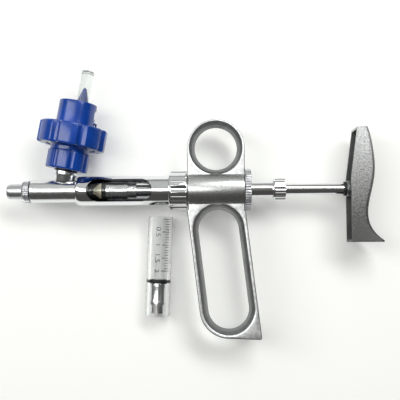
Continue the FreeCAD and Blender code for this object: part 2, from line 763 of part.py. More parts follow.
def palm_outline(inset):
    """Side view of the palm rest, or of its hollow when the wall is taken off as an inset."""
    back = [V(palm_rim_x + reach - inset, y, 0) for reach, y in palm_back]
    if inset:
        back = back[:-1]
    back[0].y = palm_high - inset
    curve = Part.BSplineCurve()
    curve.interpolate(back)
    low = palm_low + inset
    front = palm_rim_x - 2 * inset
    foot, head = V(back[-1].x, low, 0), V(front + palm_lean, palm_high - inset, 0)
    bend, toe = V(front, palm_bend, 0), V(front, low, 0)
    edges = [curve.toShape(), Part.makeLine(back[-1], foot), Part.makeLine(foot, toe),
             Part.makeLine(toe, bend), Part.makeLine(bend, head), Part.makeLine(head, back[0])]
    return Part.Face(Part.Wire(edges))


def palm_rest():
    """Hollow cast rest for the palm, open towards the handle, with a boss for the rod."""
    shell = palm_outline(0).extrude(V(0, 0, palm_thickness))
    shell.translate(V(0, 0, -palm_thickness / 2))
    hollow = palm_outline(palm_wall).extrude(V(0, 0, palm_thickness - 2 * palm_wall))
    hollow.translate(V(0, 0, palm_wall - palm_thickness / 2))
    boss = bar(boss_x, palm_rim_x + palm_back[2][0] - palm_wall / 2, palm_boss_diameter)
    shape = shell.cut(hollow).fuse(boss)
    stud_hole = bar(boss_x - 1, boss_x + palm_stud_length + end_gap, palm_stud_diameter + 2 * seat_gap)
    return shape.cut(stud_hole).removeSplitter()


def buffer_ring():
    return tube(buffer_start, boss_x, buffer_diameter, rod_diameter + 2 * seat_gap)


def on_bench(shape):
    """Lays a shape made along X from zero onto the bench, in the place of the spare glass."""
    placed = shape.copy()
    foot_y = spare_top.y - math.sqrt(glass_length ** 2 - (spare_top.x - spare_foot_x) ** 2)
    angle = math.degrees(math.atan2(foot_y - spare_top.y, spare_foot_x - spare_top.x))
    placed.rotate(V(0, 0, 0), V(0, 0, 1), angle)
    placed.translate(spare_top + V(0, 0, bench_z + glass_outer / 2))
    return placed


def spare_glass():
    return on_bench(tube(0, glass_length, glass_outer, glass_bore))


def from_piston(shape):
    """Moves a copy of a piston piece from the syringe into the spare glass."""
    placed = shape.copy()
    placed.translate(V(spare_ring_start - ring_x, 0, 0))
    return on_bench(placed)


def spare_piston():
    return from_piston(piston_body())


def spare_o_ring():
    return from_piston(piston_o_ring())


pieces = [needle_nozzle, nozzle_gasket, valve_body, outlet_valve, outlet_valve_spring, inlet_stub,
          inlet_valve, inlet_valve_spring, inlet_gasket, adapter_base, adapter_collar, adapter_seal,
          adapter_cup, adapter_spike, spike_sleeve, barrel_casing, front_gasket, glass_barrel,
          rear_gasket, rod_guide, return_spring, piston_tip, piston_o_ring, piston_body, piston_rod,
          rod_collar, stop_washer, coupling_nut, handle, rear_bush, lock_ring, dose_sleeve,
          dose_grip_nut, palm_rest, buffer_ring, spare_glass, spare_piston, spare_o_ring]

os.makedirs("parts", exist_ok=True)
for piece in pieces:
    solid = piece().Solids[0]
    solid.exportStep("parts/" + piece.__name__ + ".step")
    print(piece.__name__, solid.isValid(), round(solid.Volume, 1))
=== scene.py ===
# %% [markdown]
# # A self-refilling syringe, dressed for its portrait
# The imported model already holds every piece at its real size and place. This lesson gives those
# pieces the surfaces of the real thing: chromed brass, cast aluminium, moulded plastic, glass
# and rubber. Nothing is moved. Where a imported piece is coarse, a finer surface worked out with
# numpy takes its place and keeps its exact size, which is read from the frame.

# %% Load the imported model
import json
import math

import bmesh
import bpy
import numpy as np
from mathutils import Matrix, Vector


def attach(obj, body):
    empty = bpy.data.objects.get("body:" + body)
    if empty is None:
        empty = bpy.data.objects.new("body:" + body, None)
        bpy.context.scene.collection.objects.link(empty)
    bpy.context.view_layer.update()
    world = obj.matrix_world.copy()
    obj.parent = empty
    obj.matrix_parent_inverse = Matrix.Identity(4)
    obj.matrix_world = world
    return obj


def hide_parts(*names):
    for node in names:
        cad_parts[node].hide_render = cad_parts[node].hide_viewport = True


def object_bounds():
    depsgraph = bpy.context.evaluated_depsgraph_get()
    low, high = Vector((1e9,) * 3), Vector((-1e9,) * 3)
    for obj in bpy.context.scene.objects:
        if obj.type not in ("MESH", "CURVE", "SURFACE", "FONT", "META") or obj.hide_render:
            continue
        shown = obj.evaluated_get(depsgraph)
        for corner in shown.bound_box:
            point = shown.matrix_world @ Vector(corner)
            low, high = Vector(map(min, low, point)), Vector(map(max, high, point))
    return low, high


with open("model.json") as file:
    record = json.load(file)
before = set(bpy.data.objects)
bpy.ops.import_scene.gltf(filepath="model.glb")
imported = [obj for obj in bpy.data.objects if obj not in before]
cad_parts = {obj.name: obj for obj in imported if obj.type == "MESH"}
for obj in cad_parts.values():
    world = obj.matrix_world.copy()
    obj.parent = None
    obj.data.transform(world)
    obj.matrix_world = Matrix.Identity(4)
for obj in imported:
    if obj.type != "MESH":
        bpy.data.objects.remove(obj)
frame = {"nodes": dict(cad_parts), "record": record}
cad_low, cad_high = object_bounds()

MM = 0.001

# %% [markdown]
# ## Seats
# Most pieces are turned: they are round about one axis. A seat is such an axis in space, with
# an origin and three directions. Profiles are drawn along the seat's first direction, and the
# seat then carries the points to their place. Three seats are enough here: the barrel, the
# inlet stub that leans over it, and the spare glass that lies on the bench.


# %% Seats and what the frame says about them
def unit(vector):
    return vector / np.linalg.norm(vector)


class Seat:
    """An axis in space: origin in millimetres, and unit vectors along, across and up."""

    def __init__(self, origin, along, up=(0, 0, 1)):
        self.origin = np.array(origin, float)
        first = unit(np.array(along, float))
        second = unit(np.cross(up, first))
        self.turn = np.stack([first, second, np.cross(first, second)])

    def place(self, points):
        """Seat coordinates to the row frame, still in millimetres."""
        return points @ self.turn + self.origin

    def shifted(self, across):
        """A seat with the same directions, moved sideways."""
        return Seat(self.origin + self.turn[1] * across, self.turn[0])


def cad_points(node):
    """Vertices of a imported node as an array, in millimetres."""
    mesh = frame["nodes"][node].data
    flat = np.empty(len(mesh.vertices) * 3)
    mesh.vertices.foreach_get("co", flat)
    return flat.reshape(-1, 3) / MM


def along(node, seat):
    """Start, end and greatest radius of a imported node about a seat, in millimetres."""
    local = (cad_points(node) - seat.origin) @ seat.turn.T
    return local[:, 0].min(), local[:, 0].max(), np.hypot(local[:, 1], local[:, 2]).max()


barrel = Seat((0, 0, 0), (1, 0, 0))
STUB_X = 29.3
STUB_LEAN = math.radians(10.5)
stub = Seat((STUB_X, 0, 0), (math.sin(STUB_LEAN), math.cos(STUB_LEAN), 0))
SPIKE_OFFSET = 2.0
spike_seat = stub.shifted(-SPIKE_OFFSET)
spare_low, spare_high = cad_points("spare_glass").min(0), cad_points("spare_glass").max(0)
GLASS_OUTER = spare_high[2] - spare_low[2]
SPARE_TOP = (81.8, -13.9, spare_low[2] + GLASS_OUTER / 2)
SPARE_FOOT_X = 79.4
spare_run = along("glass_barrel", barrel)
spare_length = spare_run[1] - spare_run[0]
spare_drop = math.sqrt(spare_length ** 2 - (SPARE_TOP[0] - SPARE_FOOT_X) ** 2)
bench = Seat(SPARE_TOP, (SPARE_FOOT_X - SPARE_TOP[0], -spare_drop, 0))
print("glass:", round(spare_length, 2), "mm long,", round(GLASS_OUTER, 2), "mm across")

# %% [markdown]
# ## Surfaces from grids
# A surface is a grid of points with two parameters. Joining neighbours with four-sided faces
# gives the mesh. A grid may close on itself in either direction: a tube closes across, and a
# ring of rubber closes both ways. Doubled points at poles are merged, and the normals are then
# made to point outwards.


# %% Grid to mesh
def in_scene(name, data):
    """New object in the scene, from a mesh, a curve, a lamp or a camera."""
    item = bpy.data.objects.new(name, data)
    bpy.context.scene.collection.objects.link(item)
    return item


def smooth_by_angle(mesh, degrees=32):
    mesh.shade_smooth()
    mesh.set_sharp_from_angle(angle=math.radians(degrees))


def grid_faces(points, close_rows, close_columns, keep=None):
    """Four-sided faces of a grid as rows of point numbers. keep says which faces stay."""
    rows, columns = points.shape[:2]
    index = np.arange(rows * columns).reshape(rows, columns)
    if close_rows:
        index = np.vstack([index, index[:1]])
    if close_columns:
        index = np.hstack([index, index[:, :1]])
    quads = np.stack([index[:-1, :-1], index[1:, :-1], index[1:, 1:], index[:-1, 1:]], -1)
    return quads[keep] if keep is not None else quads.reshape(-1, 4)


def surface(name, *patches, sharp=32):
    """Mesh object from patches: (grid of points in millimetres, close rows, close columns, keep).

    Patches that share an edge are sewn together where their points meet."""
    corners, faces, count = [], [], 0
    for points, *options in patches:
        faces.append(grid_faces(points, *options) + count)
        corners.append(points.reshape(-1, 3))
        count += len(corners[-1])
    mesh = bpy.data.meshes.new(name)
    mesh.from_pydata((np.vstack(corners) * MM).tolist(), [], np.vstack(faces).tolist())
    clean = bmesh.new()
    clean.from_mesh(mesh)
    bmesh.ops.remove_doubles(clean, verts=clean.verts, dist=1e-6)
    bmesh.ops.dissolve_degenerate(clean, edges=clean.edges, dist=1e-7)
    loose = [point for point in clean.verts if not point.link_faces]
    bmesh.ops.delete(clean, geom=loose, context="VERTS")
    bmesh.ops.recalc_face_normals(clean, faces=clean.faces)
    clean.to_mesh(mesh)
    clean.free()
    smooth_by_angle(mesh, sharp)
    return in_scene(name, mesh)


# %% [markdown]
# ## Turned pieces
# A lathe drags a profile round an axis. Real turned edges are never quite sharp, and the small
# round at each corner is what catches the light, so every corner of a profile is first cut by
# a short arc. Flutes, knurling and moulded lobes are the same lathe with a radius that also
# depends on the angle.


# %% Profiles and the lathe
def bend(start, corner, end, steps):
    """Curve from start to end that a corner draws towards itself."""
    share = np.linspace(0, 1, steps + 1)[:, None]
    return (1 - share) ** 2 * start + 2 * share * (1 - share) * corner + share ** 2 * end


def round_axis(station, radius, angle):
    """Points at stations along an axis, each at a radius and an angle round it."""
    return np.stack(np.broadcast_arrays(station, radius * np.cos(angle), radius * np.sin(angle)), -1)


def eased(corners, radius, steps=4, axis=True):
    """Closed profile with each corner replaced by a curve that starts radius away at most.

    With axis set, corners on the lathe's axis stay sharp."""
    corners = [np.array(corner, float) for corner in corners]
    points = []
    for number, corner in enumerate(corners):
        before, after = corners[number - 1], corners[(number + 1) % len(corners)]
        if axis and corner[1] <= 0:
            points.append(corner[None, :])
            continue
        reach = min(radius, 0.45 * np.linalg.norm(before - corner), 0.45 * np.linalg.norm(after - corner))
        points.append(bend(corner + unit(before - corner) * reach, corner,
                           corner + unit(after - corner) * reach, steps))
    return np.vstack(points)


def split_long(profile, step):
    """Adds points to a closed profile so that no run is longer than step."""
    rows = []
    for here, there in zip(profile, np.roll(profile, -1, axis=0)):
        count = max(1, int(np.ceil(np.linalg.norm(there - here) / step)))
        rows.append(here + (there - here) * (np.arange(count) / count)[:, None])
    return np.vstack(rows)


def turned(name, corners, seat, edge=0.15, segments=96, relief=None, step=None):
    """Closed lathe surface: corners are (station, radius) pairs, and relief lowers the radius.

    A point at station x and angle a lies at radius r - relief(x, r, a), so flutes, teeth and
    lobes come out of the same profile."""
    profile = eased(corners, edge)
    if step:
        profile = split_long(profile, step)
    station, radius = profile[:, :1], np.maximum(profile[:, 1:], 0)
    angle = np.linspace(0, 2 * np.pi, segments, endpoint=False)[None, :]
    reach = np.broadcast_to(radius, (len(profile), segments))
    if relief:
        reach = reach - relief(station, radius, angle)
    return surface(name, (seat.place(round_axis(station, reach, angle)), radius.min() > 0, True))


def pipe(start, end, outer, inner):
    """Corners of a plain tube's section."""
    return [(start, inner), (start, outer), (end, outer), (end, inner)]


def rod_section(start, end, radius):
    return [(start, 0), (start, radius), (end, radius), (end, 0)]


def tube(name, node, seat, inner, body, finish, edge=0.15, wider=0.0):
    """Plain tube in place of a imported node, with a bore of its own."""
    start, end, outer = along(node, seat)
    return dress(turned(name, pipe(start, end, outer + wider, inner), seat, edge), body, finish, node)


def wave(angle, count):
    """Place within one repeat of a pattern round the axis, from 0 to 1."""
    return (angle * count / (2 * np.pi)) % 1.0


def fade(value, low, high):
    """0 below low, 1 above high, with a smooth rise between."""
    share = np.clip((value - low) / (high - low), 0, 1)
    return share * share * (3 - 2 * share)


def second_finish(piece, material, chosen):
    """Puts another material on the faces for which chosen(centre, normal) holds."""
    piece.data.materials.append(material)
    for face in piece.data.polygons:
        face.material_index = int(chosen(face.center / MM, face.normal))


def dress(piece, body, material, *nodes):
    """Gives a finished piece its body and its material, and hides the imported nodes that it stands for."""
    piece.data.materials.append(material)
    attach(piece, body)
    if nodes:
        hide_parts(*nodes)
    return piece


# %% [markdown]
# ## Finishes
# A finish is a shader and the small irregularities that make it believable: chrome is never
# quite even, cast metal is pebbled, moulded plastic has a faint orange peel. All patterns read
# Object coordinates, which are metres here, so a noise scale of 1000 makes grains of about a
# millimetre.


# %% Helpers for materials
def add_node(tree, kind, **inputs):
    """New node. An input is a value or the output to link it to, and _ stands for a space."""
    node = tree.nodes.new("ShaderNode" + kind)
    for name, value in inputs.items():
        socket = node.inputs[name.replace("_", " ")]
        if isinstance(value, bpy.types.NodeSocket):
            tree.links.new(value, socket)
        else:
            socket.default_value = value
    return node


def add_up(tree, *values):
    """Sum of two outputs."""
    node = add_node(tree, "Math")
    for value, socket in zip(values, node.inputs):
        tree.links.new(value, socket)
    return node.outputs["Value"]


class Finish:
    """A Principled material under construction, with shorthand for its nodes."""

    def __init__(self, name, slot, colour, roughness, metallic=0.0):
        self.material = bpy.data.materials.new(name)
        self.material.use_nodes = True
        self.material["slot"] = slot
        self.tree = self.material.node_tree
        self.shader = self.tree.nodes["Principled BSDF"]
        self.shader.inputs["Base Color"].default_value = (*colour, 1)
        self.shader.inputs["Roughness"].default_value = roughness
        self.shader.inputs["Metallic"].default_value = metallic
        self.place = self.tree.nodes.new("ShaderNodeTexCoord").outputs["Object"]

    def link(self, source, target):
        self.tree.links.new(source, target)

    def noise(self, scale, detail=2.0, stretch=None):
        """Noise texture on Object coordinates, which stretch can draw out along an axis."""
        source = self.place
        if stretch:
            source = add_node(self.tree, "Mapping", Scale=stretch, Vector=source).outputs["Vector"]
        return add_node(self.tree, "TexNoise", Scale=scale, Detail=detail, Vector=source).outputs["Fac"]

    def spread(self, value, low, high, start=0.3, stop=0.7):
        """Maps a pattern's middle range onto the range from low to high."""
        return add_node(self.tree, "MapRange", Value=value, From_Min=start, From_Max=stop,
                        To_Min=low, To_Max=high).outputs["Result"]

    def vary_roughness(self, value, low, high):
        self.link(self.spread(value, low, high), self.shader.inputs["Roughness"])

    def vary_colour(self, value, dark, light):
        """Blends between two colours by a pattern."""
        ramp = add_node(self.tree, "ValToRGB", Fac=value)
        for element, position, colour in zip(ramp.color_ramp.elements, (0.35, 0.65), (dark, light)):
            element.position, element.color = position, (*colour, 1)
        self.link(ramp.outputs["Color"], self.shader.inputs["Base Color"])

    def bump(self, value, strength, distance, below=None):
        """Raises the surface by a pattern; below is an earlier bump to build on."""
        node = add_node(self.tree, "Bump", Strength=strength, Distance=distance, Height=value)
        if below:
            self.link(below, node.inputs["Normal"])
        self.link(node.outputs["Normal"], self.shader.inputs["Normal"])
        return node.outputs["Normal"]


# %% [markdown]
# ### Metals
# Chrome is a mirror with a very slight waviness left by polishing, so its bump is broad and
# faint and its roughness stays low. The nozzle and lock ring are turned and only satin, so a
# noise that is stretched round the axis draws their fine tool lines. The handle and palm rest
# are cast: a fine pebbled grain, larger soft unevenness, and rough flat faces. One function
# makes nearly all the finishes, because they differ only in their numbers.


# %% Metals
LINES, SCRATCHES = (900, 3, (6.0, 0.6, 0.6)), (900, 3, (1.0, 0.25, 1.0))


def made(name, slot, colour, roughness, grain, spread, tones=None, bumps=(), metallic=1.0, sockets=()):
    """Material from one line: a pattern spreads the roughness, another one blends two tones.

    A pattern is (scale, detail) or (scale, detail, stretch), tones are (pattern, dark, light),
    each bump is (pattern, strength, distance) and lies on the one before, and sockets are
    (name, value) pairs of the shader."""
    finish = Finish(name, slot, colour, roughness, metallic)
    for socket, value in sockets:
        finish.shader.inputs[socket].default_value = value
    if tones:
        finish.vary_colour(finish.noise(*tones[0]), *tones[1:])
    finish.vary_roughness(finish.noise(*grain), *spread)
    below = None
    for pattern, strength, distance in bumps:
        below = finish.bump(finish.noise(*pattern), strength, distance, below)
    return finish.material


def chrome(name, low, high):
    return made(name, "chrome", (0.79, 0.80, 0.82), low, (350, 3), (low, high),
                bumps=[((160, 1), 0.10, 0.0004), ((2600, 2), 0.03, 0.00004)])


def cast(name, dark, light, low, high, pebbles=1.0):
    return made(name, "cast_aluminium", light, low, (1300, 3), (low, high), ((55, 3), dark, light),
                [((55, 3), 0.12 * pebbles, 0.0012), ((620, 2), 0.22 * pebbles, 0.00022),
                 ((1300, 3), 0.35 * pebbles, 0.00012)])


def palm_finish():
    """Rough cast metal with painted light: lighter towards the far end of the palm rest and darker
    towards the near end, where the light falls off, with random mottling on top.
    """
    finish = Finish("rough_cast", "cast_aluminium", (0.45, 0.45, 0.44), 0.5, metallic=1.0)
    place = add_node(finish.tree, "SeparateXYZ", Vector=finish.place)
    # Painted light: the colour is lighter towards +Y and darker towards -Y, as the light falls off.
    painted_falloff = finish.spread(place.outputs["Y"], 0.26, 0.60, start=-0.035, stop=0.035)
    falloff_and_mottle = add_up(finish.tree, painted_falloff, finish.spread(finish.noise(1100, 4), -0.06, 0.06))
    finish.vary_colour(falloff_and_mottle, (0.12, 0.12, 0.115), (0.58, 0.59, 0.59))
    finish.vary_roughness(finish.noise(900, 3), 0.42, 0.58)
    pebble = finish.bump(finish.noise(620, 2), 0.3, 0.0003)
    finish.bump(finish.noise(1500, 3), 0.35, 0.00014, below=pebble)
    return finish.material


CHROME, SOFT_CHROME = chrome("polished_chrome", 0.05, 0.12), chrome("soft_chrome", 0.17, 0.26)
SATIN = made("satin_steel", "satin_steel", (0.60, 0.61, 0.63), 0.26, LINES, (0.28, 0.42),
             bumps=[(LINES, 0.12, 0.00006)])
CAST = cast("cast_aluminium", (0.25, 0.255, 0.26), (0.34, 0.345, 0.35), 0.36, 0.5)
SLEEVE_CAST = cast("sleeve_cast", (0.56, 0.57, 0.565), (0.64, 0.65, 0.645), 0.26, 0.34, pebbles=0.07)
# Painted shade: a dark cast finish for the inside of the palm rest's hollow, standing in for the shade there.
PAINTED_SHADE_CAST = cast("painted_shade_hollow_cast", (0.10, 0.10, 0.105), (0.17, 0.17, 0.175), 0.45, 0.6)
# Painted shade: a near-black finish for the casing's bore, standing in for the shade inside it.
PAINTED_SHADE_BORE = cast("painted_shade_bore", (0.030, 0.033, 0.045), (0.055, 0.06, 0.075), 0.25, 0.4, pebbles=0.2)
GROUND = made("ground_aluminium", "cast_aluminium", (0.84, 0.85, 0.85), 0.38, SCRATCHES, (0.34, 0.5),
              ((500, 4), (0.56, 0.57, 0.57), (0.78, 0.79, 0.79)), [(SCRATCHES, 0.25, 0.00008)])
PALM = palm_finish()
WIRE = made("spring_wire", "spring_steel", (0.52, 0.53, 0.55), 0.25, (1500, 2), (0.2, 0.35))
BRASS = made("turned_brass", "brass", (0.70, 0.50, 0.20), 0.25, (1200, 2, (5.0, 0.6, 0.6)), (0.2, 0.35))
print("metals:", CHROME.name, SATIN.name, CAST.name, WIRE.name, BRASS.name)

# %% [markdown]
# ### Plastic, rubber and glass
# The adapter is glossy moulded nylon in a deep blue, with a faint orange peel. Rubber is nearly
# black and dull. Both glasses are a clear shader with the refraction of borosilicate glass,
# and the spike's sleeve is a softer, slightly milky plastic.


# %% Plastic, rubber and glass
BLUE = made("blue_nylon", "blue_plastic", (0.002, 0.05, 0.33), 0.2, (700, 2), (0.17, 0.27),
            ((90, 2), (0.0015, 0.044, 0.28), (0.003, 0.058, 0.38)), [((420, 2), 0.06, 0.00012)], metallic=0.0,
            sockets=[("Coat Weight", 0.25), ("Coat Roughness", 0.12)])
RUBBER = made("black_rubber", "black_rubber", (0.012, 0.012, 0.013), 0.5, (900, 2), (0.38, 0.6),
              bumps=[((1800, 2), 0.1, 0.00006)], metallic=0.0)
SEAL = made("pale_seal", "pale_seal", (0.62, 0.56, 0.40), 0.45, (900, 2), (0.38, 0.55),
            ((400, 2), (0.56, 0.50, 0.34), (0.68, 0.63, 0.48)), metallic=0.0)
GLASS = made("clear_glass", "borosilicate_glass", (0.985, 0.992, 0.99), 0.02, (300, 2), (0.0, 0.03),
             metallic=0.0, sockets=[("Transmission Weight", 1.0), ("IOR", 1.47)])
CLEAR = made("clear_sleeve", "clear_plastic", (0.85, 0.88, 0.87), 0.15, (500, 2), (0.08, 0.2),
             metallic=0.0, sockets=[("Transmission Weight", 0.88), ("IOR", 1.38)])
INK = made("scale_ink", "black_rubber", (0.006, 0.006, 0.006), 0.55, (2500, 2), (0.45, 0.65), metallic=0.0)
print("others:", BLUE.name, RUBBER.name, SEAL.name, GLASS.name, CLEAR.name, INK.name)

# %% [markdown]
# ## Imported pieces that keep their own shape
# The springs, poppets, gaskets and other hidden pieces are right as they were packed, so they
# only get their finish. The loop goes through the record's own list of slots.

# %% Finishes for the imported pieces
slot_finish = {"chrome": CHROME, "satin_steel": SATIN, "spring_steel": WIRE, "cast_aluminium": CAST,
               "blue_plastic": BLUE, "clear_plastic": CLEAR, "borosilicate_glass": GLASS,
               "black_rubber": RUBBER, "pale_seal": SEAL, "brass": BRASS}
for row in frame["record"]["subparts"]:
    packed = frame["nodes"][row["node"]]
    packed.data.materials.clear()
    packed.data.materials.append(slot_finish[row["material_slot"]])

# %% [markdown]
# ## Nozzle and valve body
# The nozzle is one turned piece: a plain tip with the needle's cone inside, and a ring with
# straight knurling that fingers turn. The knurling is a relief of 36 teeth that only acts on
# the ring. Behind it lie a black gasket and the chromed body of the valves.

# %% Nozzle
TIP_RADIUS = 4.1
RECESS_RADIUS, RECESS_DEPTH = 3.3, 7.3
CONE_TIP, CONE_BASE, CONE_SET_BACK = 1.985, 2.195, 0.3
NOZZLE_BORE = 0.8
NOZZLE_THREAD = 4.4
NOZZLE_TEETH = 36
nozzle_end, KNURL_RADIUS = along("needle_nozzle", barrel)[1:]
gasket_start = along("nozzle_gasket", barrel)[0]
knurl_start = 8.3
SEAT_GAP = 0.05


def knurl_relief(station, radius, angle):
    """Teeth with round crests: the radius drops by 0.4 mm between them, on the ring only."""
    valley = 1 - fade(np.abs(wave(angle, NOZZLE_TEETH) - 0.5), 0.08, 0.3)
    return 0.4 * valley * fade(station, knurl_start, knurl_start + 0.3) * fade(radius, 4.8, 5.4)


nozzle = turned("nozzle", [
    (nozzle_end, NOZZLE_BORE), (CONE_SET_BACK, NOZZLE_BORE), (CONE_SET_BACK, CONE_TIP),
    (RECESS_DEPTH, CONE_BASE), (RECESS_DEPTH, RECESS_RADIUS), (0, RECESS_RADIUS),
    (0, TIP_RADIUS - 0.5), (1.5, TIP_RADIUS), (knurl_start, TIP_RADIUS), (knurl_start, KNURL_RADIUS - 0.65),
    (knurl_start + 1.2, KNURL_RADIUS), (gasket_start, KNURL_RADIUS),
    (gasket_start, NOZZLE_THREAD), (nozzle_end, NOZZLE_THREAD)],
    barrel, edge=0.22, segments=NOZZLE_TEETH * 8, relief=knurl_relief)
dress(nozzle, "nozzle", SATIN, "needle_nozzle")
tube("nozzle_washer", "nozzle_gasket", barrel, NOZZLE_THREAD + SEAT_GAP, "nozzle_washer", RUBBER, wider=0.2)
print("nozzle:", len(nozzle.data.polygons), "faces")

# %% [markdown]
# The valve body is turned too, and the stub's plug sits in a cross hole in it. No lathe can leave
# that hole open, so a second solid is taken away from the body. The body's profile has extra
# points, because short faces keep the polished skin smooth beside the hole. The stub is hollow
# where the poppet of the inlet moves.


# %% Valve body and inlet stub
def cut_away(piece, cutter, sharp=32):
    """Takes the cutter's volume out of the piece for good, and drops the cutter."""
    cut = piece.modifiers.new("cut", "BOOLEAN")
    cut.object = cutter
    bpy.context.view_layer.update()
    shape = bpy.data.meshes.new_from_object(piece.evaluated_get(bpy.context.evaluated_depsgraph_get()))
    piece.modifiers.clear()
    piece.data = shape
    bpy.data.objects.remove(cutter)
    smooth_by_angle(shape, sharp)


body_start, body_end, BODY_RADIUS = along("valve_body", barrel)
CONE_RECESS, CHAMBER_END, NOSE_DEPTH = 4.2, 14, 4.4
CONE_MOUTH, CONE_THROAT, BODY_BORE, VALVE_RADIUS = 4.4, 1.6, 1.5, 4.0
body = turned("valve_body_turned", [
    (body_start, NOZZLE_THREAD + SEAT_GAP), (body_start, BODY_RADIUS),
    (body_end, BODY_RADIUS), (body_end, CONE_MOUTH), (body_end - CONE_RECESS, CONE_THROAT),
    (body_start + CHAMBER_END, BODY_BORE), (body_start + CHAMBER_END, VALVE_RADIUS),
    (body_start + NOSE_DEPTH, NOZZLE_THREAD + SEAT_GAP)], barrel, edge=0.25, segments=128, step=2.5)
STUB_RADIUS, STUB_BORE, STUB_THREAD = 5.25, 1.2, 4.0
PLUG_RADIUS, PLUG_FOOT, HOLE_TOP, CHAMBER, CHAMBER_RADIUS = 3.5, 3.0, 12, (4.0, 9.6), 2.5
cut_away(body, turned("stub_hole", [
    (0, 0), (0, STUB_BORE), (PLUG_FOOT - SEAT_GAP, STUB_BORE), (PLUG_FOOT - SEAT_GAP, PLUG_RADIUS + SEAT_GAP),
    (HOLE_TOP, PLUG_RADIUS + SEAT_GAP), (HOLE_TOP, 0)], stub, edge=0.02, segments=64))
dress(body, "barrel", SOFT_CHROME, "valve_body")
stub_end, FLANGE_RADIUS = along("inlet_stub", stub)[1:]
washer_start = along("inlet_gasket", stub)[0]
flange_start, SADDLE = washer_start - 2.0, 4.2
inlet = turned("inlet_stub_turned", [
    (PLUG_FOOT, STUB_BORE), (PLUG_FOOT, PLUG_RADIUS), (SADDLE, PLUG_RADIUS),
    (SADDLE, STUB_RADIUS - 0.5), (SADDLE + 1.4, STUB_RADIUS),
    (flange_start - 0.5, FLANGE_RADIUS - 0.45), (flange_start, FLANGE_RADIUS),
    (washer_start, FLANGE_RADIUS), (washer_start, STUB_THREAD), (stub_end, STUB_THREAD),
    (stub_end, STUB_BORE), (CHAMBER[1], STUB_BORE), (CHAMBER[1], CHAMBER_RADIUS),
    (CHAMBER[0], CHAMBER_RADIUS), (CHAMBER[0], STUB_BORE)],
    stub, edge=0.3, segments=128)
dress(inlet, "barrel", SOFT_CHROME, "inlet_stub")
tube("inlet_washer", "inlet_gasket", stub, STUB_THREAD + SEAT_GAP, "adapter_washer", RUBBER)
print("stub flange:", round(2 * FLANGE_RADIUS, 2), "mm across")

# %% [markdown]
# ## Bottle adapter
# The adapter is moulded, so its grips have broad lobes with narrow grooves between them, and
# generous rounded edges. Each groove is a smooth dip in the radius. The cup is thin walled and
# has a notch in its side: the faces of the lathe that lie in the notch are left out, and four
# narrow strips close the cut through the wall.


# %% Lobed grips
def groove_relief(count, first, depth, half_width, low, high, inner):
    """Grooves at equal angles from the first one, all in degrees, between two stations."""
    def relief(station, radius, angle):
        turn = np.degrees(angle) - first + 180.0 / count
        away = np.abs(turn % (360.0 / count) - 180.0 / count)
        dip = 1 - fade(away, 0.25 * half_width, half_width)
        mask = fade(station, low - 0.05, low) * fade(-station, -high - 0.05, -high)
        return depth * dip * mask * fade(radius, inner, inner + 0.8)
    return relief


GRIP_LOBES, COLLAR_LOBES = 8, 8
base_start, base_end = along("adapter_base", stub)[:2]
collar_start, collar_end, COLLAR_RADIUS = along("adapter_collar", stub)
GRIP_RADIUS, NECK_RADIUS, BOSS_RADIUS, neck_start = 11.25, 10.5, 12.8, 21.6
base = turned("adapter_base_moulded",
              [(base_start, STUB_THREAD + 0.1), (base_start, GRIP_RADIUS), (neck_start, GRIP_RADIUS),
               (neck_start, NECK_RADIUS), (collar_start + 0.3, NECK_RADIUS),
               (collar_start + 0.3, BOSS_RADIUS), (base_end, BOSS_RADIUS), (base_end, STUB_THREAD + 0.1)],
              stub, edge=1.0, segments=GRIP_LOBES * 24,
              relief=groove_relief(GRIP_LOBES, 20.0, 0.95, 8.0, base_start, neck_start, 8.0))
dress(base, "adapter", BLUE, "adapter_base")
cup_start, cup_end = along("adapter_cup", stub)[:2]
CUP_RADIUS, CUP_WALL, FLANGE_TOP = 10.2, 1.5, 33.3
collar = turned("adapter_collar_moulded",
                [(collar_start, BOSS_RADIUS + 0.35), (collar_start, COLLAR_RADIUS),
                 (collar_end, COLLAR_RADIUS), (collar_end, CUP_RADIUS + 0.15),
                 (FLANGE_TOP + 0.2, CUP_RADIUS + 0.15),
                 (FLANGE_TOP + 0.2, BOSS_RADIUS + 0.35)],
                stub, edge=1.1, segments=COLLAR_LOBES * 36,
                relief=groove_relief(COLLAR_LOBES, 27.0, 1.7, 8.5, collar_start, collar_end, 14.0))
dress(collar, "collar", BLUE, "adapter_collar")
print("collar:", round(2 * COLLAR_RADIUS, 1), "mm across,", COLLAR_LOBES, "lobes")


# %% Cup with its notch and catch
NOTCH_LOW, NOTCH_HIGH, NOTCH_HALF_ANGLE = 41.2, 46.0, 28.0
NOTCH_TURN = math.radians(18)
CATCH_START, CATCH_LENGTH, CATCH_WIDTH, CATCH_HEIGHT = 36.4, 3.0, 5.0, 1.3


